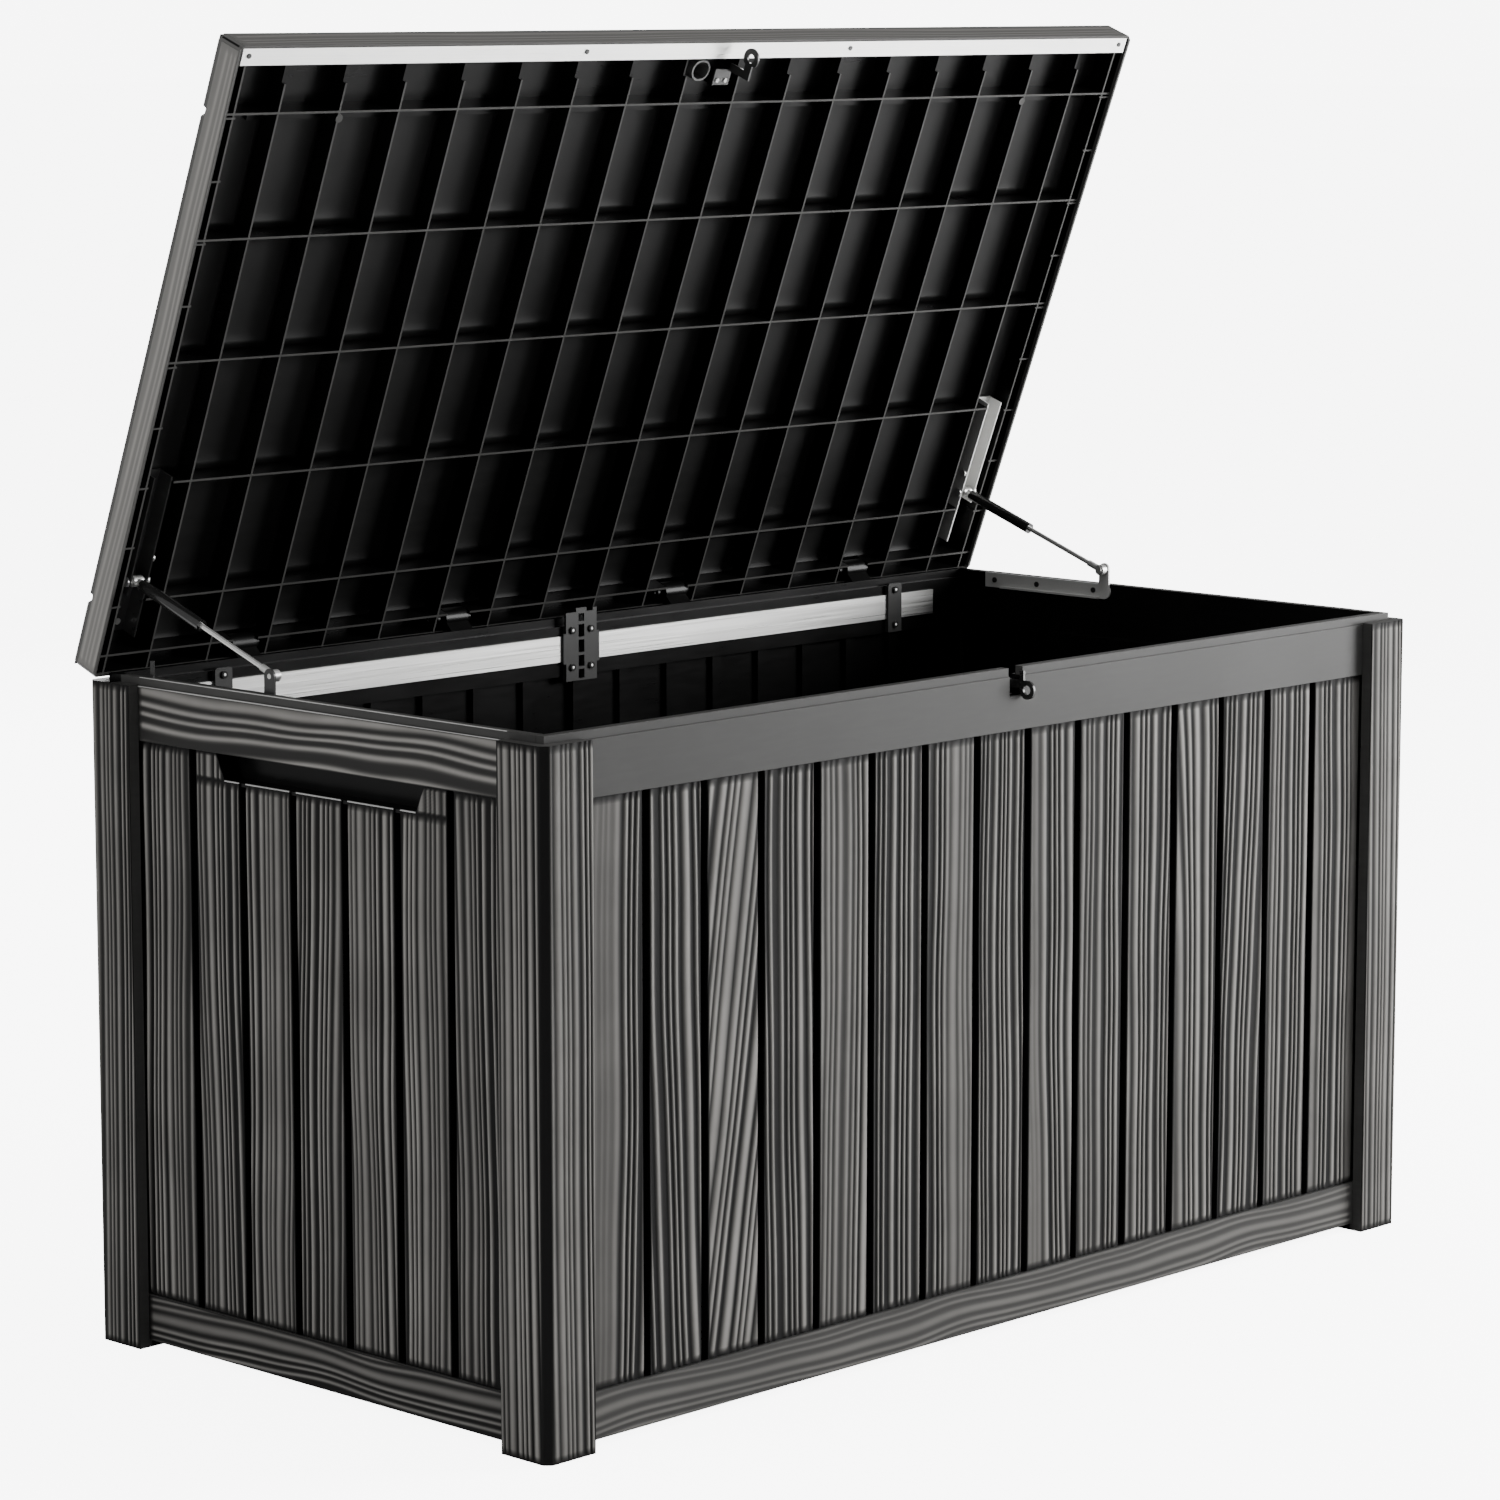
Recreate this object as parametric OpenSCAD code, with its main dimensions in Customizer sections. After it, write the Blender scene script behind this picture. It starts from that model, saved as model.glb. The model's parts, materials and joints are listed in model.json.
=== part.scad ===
// Deck storage box, drawn with its lid standing open on two gas struts.
// X runs along the front, Y from front to back, Z up. The origin is on the
// ground in the middle of the footprint of the four corner posts.

/* [Box] */
// Width over the corner posts
box_w = 1500; // [1200:1:1800]
// Depth over the corner posts
box_d = 752; // [600:1:900]
// Height of the post tops
post_h = 777; // [600:1:900]
// Width of each face of a post
post_face = 71.5; // [50:0.5:100]
// Bevel on the outer corner of a post
post_bevel = 6.5; // [2:0.5:12]
// Leg width of the foot under a post
foot_leg = 40; // [30:1:60]

/* [Walls] */
// How far a rail face sits behind a post face
rail_inset = 14; // [10:0.5:20]
// How far a slat face sits behind a post face
slat_inset = 18; // [14:0.5:26]
// Underside of the top rail
top_rail_low = 712; // [650:1:740]
// Upper face of the top rail
top_rail_high = 775; // [700:1:776]
// Underside of the bottom rail
bottom_rail_low = 9; // [9:1:20]
// Upper face of the bottom rail
bottom_rail_high = 63; // [50:1:90]
// Slats in the front wall
front_slats = 15; // [9:2:21]
// Slats in the rear wall
rear_slats = 16; // [8:2:20]
// Slats in a side wall
side_slats = 7; // [5:2:11]
// Width of the groove between two slats
groove_w = 10; // [6:0.5:14]
// Depth of the groove between two slats
groove_deep = 8; // [4:0.5:10]
// Thickness of a slat
slat_t = 5; // [3:0.5:8]
// Thickness of a rail wall
rail_t = 4; // [3:0.5:6]
// How far the rim lip sits behind a post face
lip_inset = 16; // [15:0.5:20]
// Thickness of the rim lip
lip_w = 12; // [6:0.5:14]
// Top of the rim lip
lip_top = 785; // [776:0.5:786]

/* [Lid] */
// Width of the lid
lid_w = 1511.5; // [1200:0.5:1820]
// Depth of the lid
lid_d = 770; // [600:1:920]
// Height of the lid skirt
lid_h = 37; // [28:1:60]
// Lower edge of the closed lid
lid_low = 782.5; // [780:0.5:790]
// Angle of the open lid above level
lid_open = 69; // [40:1:85]
// Thickness of the skirt
skirt_t = 3.5; // [2.5:0.5:4]
// Thickness of the top skin
skin_t = 5; // [4:0.5:8]
// Thickness of a rib
rib_t = 2.5; // [2:0.5:4]
// How far the rib edges sit above the skirt edge
rib_up = 5; // [4:0.5:10]
// Spacing of the boards and of the ribs under them
board_pitch = 89.85; // [60:0.05:110]

/* [Hinge] */
// Hinge axis in front of the back of the closed lid
hinge_in = 14; // [10:0.5:20]
// Hinge axis above the lower edge of the closed lid
hinge_up = 16; // [12:0.5:20]
// Radius of a hinge pin
pin_r = 2.5; // [2:0.1:4]
// Running clearance of a pin in its bore
pin_gap = 0.06; // [0.02:0.01:0.1]
// Width of a hinge lug
lug_w = 36; // [24:1:60]
// Radius of the hinge barrel on a lug
barrel_r = 12.8; // [8:0.1:13]

/* [Struts] */
// Sideways position of a strut from the middle
strut_x = 714; // [600:1:720]
// Box pivot, Y
box_pivot_y = 92.6; // [60:0.1:140]
// Box pivot, Z
box_pivot_z = 804.5; // [795:0.1:820]
// Lid pivot from the back of the lid
lid_pivot_u = 114.7; // [80:0.1:160]
// Lid pivot above the skirt edge
lid_pivot_n = 12.2; // [10:0.1:16]
// Radius of the strut tube
tube_r = 7; // [5:0.5:9]
// End of the tube from the lid pivot
tube_end = 122; // [100:1:150]
// Radius of the strut rod
rod_r = 3; // [2:0.5:4]

/* [Lock] */
// Sideways position of the lock eye
eye_x = 29; // [0:1:60]
// Height of the hole in the lock eye
eye_z = 758.5; // [750:0.5:765]
// Radius of the hole in the lock eye
eye_r = 5.5; // [4:0.5:7]

/* [Hidden] */
e = 0.01;
half_w = box_w / 2;
half_d = box_d / 2;
lid_back = lid_d / 2;
lid_top = lid_low + lid_h;
hinge_y = lid_back - hinge_in;
hinge_z = lid_low + hinge_up;
hinge_xs = [-530, -190, 190, 530];
long_rail = 33;
side_rail = 28;
inner_y = half_d - long_rail;
inner_x = half_w - side_rail;
long_end = half_w - rail_inset - 0.3;
side_end = half_d - long_rail - 0.3;
front_pitch = 89.6;
rear_pitch = 84;
seam = 0.1;
lap_w = 8;
side_pitch = 85.5;
bar_low = 731;
bar_high = 763;
bar_t = 3;
screw_zs = [723.5, 769.8];
clip_x = 581;
clip_w = 26;
plate_t = 2.5;
bracket_x = inner_x;
closed_lid_pivot = [lid_back - lid_pivot_u, lid_low + lid_pivot_n];
arm = closed_lid_pivot - [hinge_y, hinge_z];
open_lid_pivot = [
    hinge_y + arm[0] * cos(lid_open) + arm[1] * sin(lid_open),
    hinge_z - arm[0] * sin(lid_open) + arm[1] * cos(lid_open)
];
strut_run = open_lid_pivot - [box_pivot_y, box_pivot_z];
strut_len = norm(strut_run);
strut_tilt = atan2(strut_run[1], strut_run[0]);
rod_len = strut_len - tube_end + 22;
row_us = [688, 538.5, 391, 241, 93, 25];
cross_groove_us = [86, 680];
eye_y = -371;
notch_x0 = 8;
notch_x1 = 33;
lip_end = half_w - lip_inset;
channel_up = 28;
channel_us = [56, 150, 215];
bar_screw_xs = [-739.5, -226, 224, 736];
bracket_holes = [[110, 776], [208, 775.5], [282, 775.5]];
eye_screw_xs = [13, 24];
tongue_screw_xs = [6, 20];

// ---- helpers ----

// A block between two corners.
module block(a, b) {
    translate(a) cube(b - a);
}

// A cylinder along X from x0 to x1 at a place in the YZ plane.
module bar_x(x0, x1, y, z, r) {
    translate([x0, y, z]) rotate([0, 90, 0]) cylinder(h = x1 - x0, r = r, $fn = 48);
}

// A cylinder along Y from y0 to y1 at a place in the XZ plane.
module bar_y(y0, y1, x, z, r) {
    translate([x, y0, z]) rotate([-90, 0, 0]) cylinder(h = y1 - y0, r = r, $fn = 32);
}

// A flat profile in the YZ plane, given as [y, z], standing from x0 to x1.
module slab_x(x0, x1) {
    translate([x0, 0, 0]) rotate([90, 0, 90]) linear_extrude(x1 - x0) children();
}

// Swings lid pieces from where they close to where the lid stands open.
module open_lid() {
    translate([0, hinge_y, hinge_z]) rotate([-lid_open, 0, 0])
        translate([0, -hinge_y, -hinge_z]) children();
}

// Lays strut pieces, drawn along +Y from the origin, from the box pivot.
module on_strut(side) {
    translate([side * strut_x, box_pivot_y, box_pivot_z])
        rotate([strut_tilt, 0, 0]) children();
}

// A pan-head screw along +Y, head on the side of -Y, at the origin.
module screw_y(head_r = 4, head_t = 1.8, shank_r = 1.8, length = 6) {
    translate([0, -head_t, 0]) rotate([-90, 0, 0]) cylinder(h = head_t, r = head_r, $fn = 32);
    translate([0, -e, 0]) rotate([-90, 0, 0])
        cylinder(h = length + e, r = shank_r, $fn = 24);
}

// ---- walls ----

// Cross-section of a rail tube: depth goes away from the post face.
module rail_tube(x0, x1, low, high, depth) {
    difference() {
        block([x0, rail_inset, low], [x1, depth, high]);
        block([x0 - 1, rail_inset + rail_t, low + rail_t],
            [x1 + 1, depth - rail_t, high - rail_t]);
    }
}

// A wall with its outer post face on Y = 0 and its inside towards +Y.
// lip_back sets the rim lip further in.
module wall(x0, x1, lip0, lip1, count, pitch, depth, lip_back = 0) {
    lip_y = lip_inset + lip_back;
    groove_xs = [for (i = [1:count - 1]) (i - count / 2) * pitch];
    difference() {
        union() {
            rail_tube(x0, x1, top_rail_low, top_rail_high, depth);
            rail_tube(x0, x1, bottom_rail_low, bottom_rail_high, depth);
            block([lip0, lip_y, top_rail_high + 0.2], [lip1, lip_inset + lip_w, lip_top]);
            block([max(x0, lip0), lip_y, top_rail_high - rail_t],
                [min(x1, lip1), lip_inset + lip_w, lip_top]);
            block([x0, slat_inset, bottom_rail_high - e],
                [x1, slat_inset + slat_t, top_rail_low + e]);
            for (x = groove_xs)
                if (x > x0 - 1 && x < x1 + 1)
                    block([max(x - groove_w / 2 - 3, x0), slat_inset + 1, bottom_rail_high - e],
                        [min(x + groove_w / 2 + 3, x1), slat_inset + groove_deep + 3,
                        top_rail_low + e]);
        }
        for (x = groove_xs)
            block([x - groove_w / 2, slat_inset - 1, bottom_rail_high],
                [x + groove_w / 2, slat_inset + groove_deep, top_rail_low]);
    }
}

// Ledge inside a wall that the floor rests on.
module floor_ledge(x0, x1, depth) {
    block([x0, depth - e, 15], [x1, depth + 8, 21.7]);
}

module front_panel() {
    color("#3f3f3d")
        difference() {
            translate([0, -half_d, 0]) {
                wall(-long_end, long_end, -lip_end, lip_end, front_slats, front_pitch, long_rail);
                floor_ledge(-690, 690, long_rail);
            }
            block([notch_x0, -half_d, 752], [notch_x1, -inner_y + 1, lip_top + 1]);
            for (x = eye_screw_xs) bar_y(-inner_y - 5, -inner_y + 1, x, 735, 2.1);
        }
}

// Outline of a hinge lug in the YZ plane.
module lug_outline() {
    translate([hinge_y, hinge_z]) circle(r = 7, $fn = 48);
    polygon([
        [inner_y + 7, top_rail_high - 1],
        [half_d - rail_inset, top_rail_high - 1],
        [hinge_y + 6.9, hinge_z - 1],
        [hinge_y - 2, hinge_z + 6.5],
        [inner_y + 7, lip_top]
    ]);
}

// One half of the rear wall, from x0 to x1.
module rear_half(x0, x1) {
    difference() {
        union() {
            rotate([0, 0, 180]) translate([0, -half_d, 0]) {
                wall(-x1, -x0, max(-x1, -lip_end), min(-x0, lip_end), rear_slats, rear_pitch,
                    long_rail, 1.5);
                floor_ledge(max(-x1, -690), min(-x0, 690), long_rail);
            }
            for (x = hinge_xs)
                if (x > x0 && x < x1)
                    slab_x(x - lug_w / 2, x + lug_w / 2) {
                        lug_outline();
                        translate([hinge_y, hinge_z]) circle(r = barrel_r, $fn = 64);
                    }
        }
        for (x = hinge_xs) bar_x(x - lug_w, x + lug_w, hinge_y, hinge_z, pin_r + pin_gap);
        block([-34, inner_y - 1, top_rail_high], [34, inner_y + 10, lip_top + 1]);
        for (x = [-clip_x, -16.2, 16.2, clip_x], z = screw_zs)
            bar_y(inner_y - 1, inner_y + 5, x, z, 1.8);
    }
}

module rear_panel_left() {
    color("#3f3f3d") rear_half(-long_end, -seam);
}

// The right half laps over the seam on the inside.
module rear_panel_right() {
    lap = inner_y + 1.5;
    color("#3f3f3d") {
        rear_half(seam, long_end);
        block([-lap_w, lap, bottom_rail_high + 0.3], [lap_w, lap + 2.2, top_rail_low - 0.3]);
        block([seam, lap, bottom_rail_high + 0.3], [lap_w, lap + 2.5 + e, top_rail_low - 0.3]);
    }
}

// Outline of a hand grip pocket, seen from outside.
module grip_outline(grow) {
    polygon([
        [-172 - grow, top_rail_low],
        [-166 - grow, 690 - grow],
        [-163 - grow, 685 - grow],
        [-157 - grow, 681 - grow],
        [157 + grow, 681 - grow],
        [163 + grow, 685 - grow],
        [166 + grow, 690 - grow],
        [172 + grow, top_rail_low]
    ]);
}

// The left wall; the right wall is its mirror image.
module side_panel() {
    difference() {
        side_wall();
        for (h = bracket_holes) bar_x(-inner_x - 4, -inner_x + 1, h[0], h[1], 2.1);
    }
}

module side_wall() {
    rotate([0, 0, -90]) translate([0, -half_w, 0])
        difference() {
            union() {
                wall(-side_end, side_end, -side_end - 5, side_end + 5, side_slats, side_pitch,
                    side_rail);
                floor_ledge(-310, 310, side_rail);
                translate([0, 48, 0]) rotate([90, 0, 0])
                    linear_extrude(48 - slat_inset - 1) grip_outline(4);
                block([-176, side_rail - 1, top_rail_low - e], [176, 48, top_rail_low + 4]);
            }
            translate([0, 44, 0]) rotate([90, 0, 0])
                linear_extrude(44 - slat_inset + 2) grip_outline(0);
        }
}

module side_panel_left() {
    color("#3a3a39") side_panel();
}

module side_panel_right() {
    color("#3a3a39") mirror([1, 0, 0]) side_panel();
}

// Front-left corner post; the other three are its mirror images.
module post() {
    w = post_face;
    b = post_bevel;
    t = rail_inset - 0.3;
    translate([-half_w, -half_d, 0]) {
        linear_extrude(post_h)
            polygon([[b, 0], [w, 0], [w, t], [t, t], [t, w], [0, w], [0, b]]);
        linear_extrude(bottom_rail_low - 0.3)
            polygon([[b, 0], [w, 0], [w, foot_leg], [foot_leg, foot_leg], [foot_leg, w],
                [0, w], [0, b]]);
    }
}

module post_front_left() {
    color("#444442") post();
}

module post_front_right() {
    color("#444442") mirror([1, 0, 0]) post();
}

module post_rear_left() {
    color("#444442") mirror([0, 1, 0]) post();
}

module post_rear_right() {
    color("#444442") mirror([1, 0, 0]) mirror([0, 1, 0]) post();
}

// Floor plate with a grid of ribs under it.
module base_panel() {
    color("#2a2a2a") {
        block([0.5 - inner_x, 0.5 - inner_y, 22], [inner_x - 0.5, inner_y - 0.5, 27]);
        for (i = [-6:6])
            block([i * 112 - 1.5, -328, 10], [i * 112 + 1.5, 328, 22 + e]);
        for (j = [-2:2])
            block([-702, j * 150 - 1.5, 10], [702, j * 150 + 1.5, 22 + e]);
    }
}

// ---- rear stiffener ----

module rear_bar(side) {
    x0 = side > 0 ? 12 : -660;
    x1 = side > 0 ? 660 : -12;
    block([x0, inner_y - bar_t, bar_low], [x1, inner_y, bar_high]);
}

module rear_bar_left() {
    color("#c9c9c9") rear_bar(-1);
}

module rear_bar_right() {
    color("#c9c9c9") rear_bar(1);
}

// Plate over the meeting ends of the two bars, with a ladder of windows.
module rear_splice_plate() {
    front = inner_y - bar_t;
    windows = [[708.5, 720], [723.5, 737.5], [741, 757], [760.5, 776.5], [780, 790]];
    color("#37393a")
        difference() {
            union() {
                block([-26.5, front - bar_t, 706], [26.5, front, 792]);
                block([-9, front - bar_t, 791], [9, front, 797]);
                block([20, front - bar_t, 791], [26.5, front, 796]);
                block([-31, front - bar_t, 728], [31, front, 766]);
                block([-26.5, front - e, 706], [26.5, inner_y, bar_low - 0.5]);
                block([-26.5, front - e, bar_high + 0.5], [26.5, inner_y, 774]);
            }
            for (w = windows) block([-5, front - 9, w[0]], [5, inner_y + 1, w[1]]);
            for (x = [-16.2, 16.2], z = screw_zs)
                bar_y(front - 9, inner_y + 1, x, z, 2);
        }
}

module splice_screws() {
    color("#9a9a98")
        for (x = [-16.2, 16.2], z = screw_zs)
            translate([x, inner_y - 2 * bar_t, z]) screw_y(length = 9);
}

module bar_clip(side) {
    front = inner_y - bar_t;
    x0 = side * clip_x - clip_w / 2;
    x1 = side * clip_x + clip_w / 2;
    difference() {
        union() {
            block([x0, front - bar_t, 713.5], [x1, front, 774]);
            block([x0 + 4, front - bar_t, 773], [x1 - 4, front, 778]);
            for (x = [x0 + 4, x1 - 4]) bar_y(front - bar_t, front, x, 774, 4);
            block([x0, front - e, 713.5], [x1, inner_y, bar_low - 0.5]);
            block([x0, front - e, bar_high + 0.5], [x1, inner_y, 774]);
        }
        for (z = screw_zs) bar_y(front - 9, inner_y + 1, side * clip_x, z, 2);
    }
}

module bar_clip_left() {
    color("#3c3e3c") bar_clip(-1);
}

module bar_clip_right() {
    color("#3c3e3c") bar_clip(1);
}

module clip_screws() {
    color("#9a9a98")
        for (side = [-1, 1], z = screw_zs)
            translate([side * clip_x, inner_y - 2 * bar_t, z]) screw_y(length = 9);
}

// ---- strut brackets on the box ----

// Right bracket: long leg on the inside of the rim, upright tab for the stud.
// tab adds the upright end piece that only one of the two brackets has.
module strut_bracket(tab) {
    slab_x(bracket_x - plate_t, bracket_x)
        difference() {
            union() {
                translate([box_pivot_y, box_pivot_z]) circle(r = 8.5, $fn = 48);
                translate([box_pivot_y - 8.5, 775]) square([17, box_pivot_z - 775]);
                translate([92, 765.5]) square([207, 19.5]);
                translate([92, 775.2]) circle(r = 9.7, $fn = 48);
                if (tab) translate([294, 784]) square([5, 19]);
            }
            for (h = bracket_holes) translate(h) circle(r = 2.1, $fn = 24);
            translate([box_pivot_y, box_pivot_z]) circle(r = 3.1, $fn = 48);
        }
    block([bracket_x - 7, 100, 765.5], [bracket_x - plate_t + e, 270, 768]);
}

module strut_bracket_right() {
    color("#77787a") strut_bracket(false);
}

module strut_bracket_left() {
    color("#77787a") mirror([1, 0, 0]) strut_bracket(true);
}

module bracket_screws() {
    color("#3a3a3a")
        for (side = [0, 1])
            mirror([side, 0, 0])
                for (h = bracket_holes)
                    translate([bracket_x - plate_t, h[0], h[1]]) rotate([0, 0, -90])
                        screw_y(3.6, 1.5, 2.1, 6);
}

// Stud riveted in the tab; the rod eye turns on it.
module ball_stud() {
    x = bracket_x - plate_t;
    bar_x(strut_x - 6.3, bracket_x, box_pivot_y, box_pivot_z, 3);
    bar_x(x - 1.2, x, box_pivot_y, box_pivot_z, 5.5);
    bar_x(strut_x - 6.3, strut_x - 4.3, box_pivot_y, box_pivot_z, 5);
}

module ball_stud_right() {
    color("#cfcfd0") ball_stud();
}

module ball_stud_left() {
    color("#cfcfd0") mirror([1, 0, 0]) ball_stud();
}

// ---- lock eye ----

module lock_eye() {
    x0 = eye_x - 1.5;
    x1 = eye_x + 1.5;
    color("#1c1c1c")
        difference() {
            union() {
                slab_x(x0, x1) {
                    translate([eye_y, eye_z]) circle(r = 11, $fn = 64);
                    translate([eye_y, eye_z + 1]) square([32, 10]);
                    translate([-366, eye_z]) square([6, 22]);
                }
                block([x0 - 20, -inner_y, 724], [x1, -inner_y + plate_t, eye_z + 11]);
            }
            bar_x(x0 - 1, x1 + 1, eye_y, eye_z, eye_r);
            for (x = eye_screw_xs) bar_y(-inner_y - 1, -inner_y + 4, x, 735, 2.1);
        }
}

module lock_eye_screws() {
    color("#8c8c8c")
        for (x = eye_screw_xs)
            translate([x, -inner_y + plate_t, 735]) rotate([0, 0, 180])
                screw_y(3.6, 1.5, 2.1, 6);
}

// ---- hinge pins ----

module hinge_pins() {
    color("#8c8c8c")
        for (x = hinge_xs) {
            bar_x(x - lug_w / 2 - 10, x + lug_w / 2 + 10, hinge_y, hinge_z, pin_r);
            bar_x(x - lug_w / 2 - 11.5, x - lug_w / 2 - 10, hinge_y, hinge_z, 4);
            bar_x(x + lug_w / 2 + 10, x + lug_w / 2 + 11.5, hinge_y, hinge_z, 4);
        }
}

// ---- lid ----

// A rib along Y under the lid.
module rib_along(x, u0, u1, up) {
    block([x - rib_t / 2, lid_back - u1, lid_low + up],
        [x + rib_t / 2, lid_back - u0, lid_top - skin_t + e]);
}

// A rib along X under the lid.
module rib_across(x0, x1, u, up) {
    block([x0, lid_back - u - rib_t / 2, lid_low + up],
        [x1, lid_back - u + rib_t / 2, lid_top - skin_t + e]);
}

// Lid outline with small corner bevels.
module lid_outline(inset) {
    w = lid_w / 2 - inset;
    d = lid_d / 2 - inset;
    c = max(6 - inset, 2.5);
    polygon([[c - w, -d], [w - c, -d], [w, c - d], [w, d - c], [w - c, d], [c - w, d],
        [-w, d - c], [-w, c - d]]);
}

// Skirt and skin of the lid.
module lid_shell() {
    difference() {
        translate([0, 0, lid_low]) linear_extrude(lid_h) lid_outline(0);
        translate([0, 0, lid_low - 1]) linear_extrude(lid_h - skin_t + 1)
            lid_outline(skirt_t);
    }
}

// Grooves between the boards on top of the lid.
module lid_grooves() {
    for (i = [0:15])
        block([(i - 7.5) * board_pitch - 3, lid_back - 675, lid_top - 3],
            [(i - 7.5) * board_pitch + 3, lid_back - 91, lid_top + 1]);
    for (u = cross_groove_us)
        slab_x(-lid_w / 2 - 1, lid_w / 2 + 1)
            polygon([[lid_back - u - 6, lid_top + e], [lid_back - u - 5, lid_top - 5],
                [lid_back - u + 1, lid_top - 5], [lid_back - u + 6, lid_top + e]]);
}

// Lid pieces drawn closed.
module lid_closed() {
    side_in = lid_w / 2 - skirt_t + e;
    front_in = lid_d - skirt_t + e;
    difference() {
        union() {
            lid_shell();
            for (i = [0:15]) {
                rib_along((i - 7.5) * board_pitch, skirt_t - e, 722, rib_up);
                rib_along((i - 7.5) * board_pitch, 722 - e, 746, rib_up + 5);
            }
            for (side = [-1, 1]) rib_along(side * 738, skirt_t - e, front_in, rib_up);
            for (r = [0, 1, 2, 5]) rib_across(-side_in, side_in, row_us[r], rib_up);
            for (r = [3, 4]) rib_across(-699, 699, row_us[r], rib_up);
            rib_across(-side_in, side_in, 746, 4);
            block([-side_in, -lid_back + skirt_t - e, lid_low + 3.2],
                [side_in, -lid_back + 24, lid_low + 8]);
            for (u = cross_groove_us) {
                block([-side_in, lid_back - u - 8, lid_top - 7],
                    [side_in, lid_back - u + 8, lid_top - skin_t + e]);
                block([-699, lid_back - u - 8, lid_top - 11],
                    [699, lid_back - u + 8, lid_top - skin_t + e]);
            }
            for (k = [0:8], side = [-1, 1])
                translate([side * 743.5, lid_back - 683 + k * 74.5, 0])
                    block([-9, -1.1, lid_low + rib_up], [9, 1.1, lid_top - skin_t + e]);
            for (side = [-1, 1])
                translate([side * 582, lid_back - 680, lid_low + rib_up])
                    cylinder(h = lid_h - skin_t - rib_up + e, r = 5, $fn = 32);
            for (side = [-1, 1], u = channel_us)
                block([side * strut_x - 11, lid_back - u - 8, lid_low + channel_up + 2],
                    [side * strut_x + 11, lid_back - u + 8, lid_top - skin_t + e]);
            block([0, lid_back - 732, lid_low + 5], [27, lid_back - 712, lid_top - skin_t + e]);
            for (x = hinge_xs, s = [-1, 1])
                translate([x + s * (lug_w / 2 + 5.5), 0, 0])
                    slab_x(-3, 3) {
                        translate([hinge_y, hinge_z]) circle(r = 7, $fn = 48);
                        translate([hinge_y - 7, hinge_z])
                            square([14, lid_top - skin_t - hinge_z + e]);
                    }
        }
        lid_grooves();
        for (x = hinge_xs) {
            block([x - lug_w / 2 - 1, inner_y + 3, lid_low - 1],
                [x + lug_w / 2 + 1, lid_back + 1, lid_low + 29.5]);
            bar_x(x - lug_w, x + lug_w, hinge_y, hinge_z, pin_r + pin_gap);
        }
        slab_x(-lid_w, lid_w)
            polygon([[lid_back + e, lid_low - e], [lid_back + e, lid_low + 2.5],
                [lid_back - 2.5, lid_low - e]]);
        for (x = bar_screw_xs)
            translate([x, -lid_back + 12.5, lid_low - 1]) cylinder(h = 14, r = 1.8, $fn = 24);
        for (x = tongue_screw_xs)
            translate([x, lid_back - 718, lid_low]) cylinder(h = 9, r = 1.6, $fn = 24);
        for (side = [-1, 1], u = channel_us)
            translate([side * strut_x, lid_back - u, lid_low + channel_up])
                cylinder(h = 5.5, r = 2.1, $fn = 24);
    }
}

module lid_panel() {
    color("#4a4a49") open_lid() lid_closed();
}

module lid_front_bar() {
    color("#e2e2e2")
        open_lid()
            difference() {
                block([-749, -lid_back + 3.8, lid_low + 1.2],
                    [749, -lid_back + 23.6, lid_low + 3.2]);
                for (x = bar_screw_xs)
                    translate([x, -lid_back + 12.5, lid_low])
                        cylinder(h = 5, r = 2, $fn = 24);
            }
}

module lid_bar_screws() {
    color("#2a2a2a")
        open_lid()
            for (x = bar_screw_xs)
                translate([x, -lid_back + 12.5, lid_low + 1.2]) rotate([90, 0, 0])
                    screw_y(3, 1, 1.8, 7);
}

// Channel under the right side of the lid that straddles the strut.
module lid_channel() {
    x0 = strut_x - 13.5;
    x1 = strut_x + 13.5;
    floor_z = lid_low + channel_up;
    difference() {
        union() {
            block([x0, lid_back - 247, floor_z], [x1, lid_back - 44, floor_z + 2]);
            block([x0, lid_back - 247, lid_low + 7], [x0 + 2, lid_back - 44, floor_z + e]);
            block([x1 - 2, lid_back - 247, lid_low + 7], [x1, lid_back - 100, floor_z + e]);
        }
        for (u = channel_us)
            translate([strut_x, lid_back - u, floor_z - 1]) cylinder(h = 4, r = 2.1, $fn = 24);
        bar_x(x0 - 1, x1 + 1, closed_lid_pivot[0], closed_lid_pivot[1], 3.1);
    }
}

module lid_channel_right() {
    color("#8f9092") open_lid() lid_channel();
}

module lid_channel_left() {
    color("#8f9092") open_lid() mirror([1, 0, 0]) lid_channel();
}

module lid_channel_screws() {
    color("#b5b5b5")
        open_lid()
            for (side = [-1, 1], u = channel_us)
                translate([side * strut_x, lid_back - u, lid_low + channel_up]) rotate([90, 0, 0])
                    screw_y(4, 1.5, 2.1, 5);
}

// Two short studs that hold the tube end between the channel walls, and a rivet head beside them.
module lid_studs() {
    y = closed_lid_pivot[0];
    z = closed_lid_pivot[1];
    bar_x(strut_x - 16.5, strut_x - 13.5, lid_back - 143, z, 4.5);
    bar_x(strut_x - 16, strut_x - tube_r - 0.3, y, z, 3);
    bar_x(strut_x - 16, strut_x - 13.5, y, z, 5.5);
    bar_x(strut_x + tube_r + 0.3, strut_x + 16, y, z, 3);
    bar_x(strut_x + 13.5, strut_x + 16, y, z, 5.5);
}

module lid_studs_right() {
    color("#c4c4c6") open_lid() lid_studs();
}

module lid_studs_left() {
    color("#c4c4c6") open_lid() mirror([1, 0, 0]) lid_studs();
}

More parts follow.
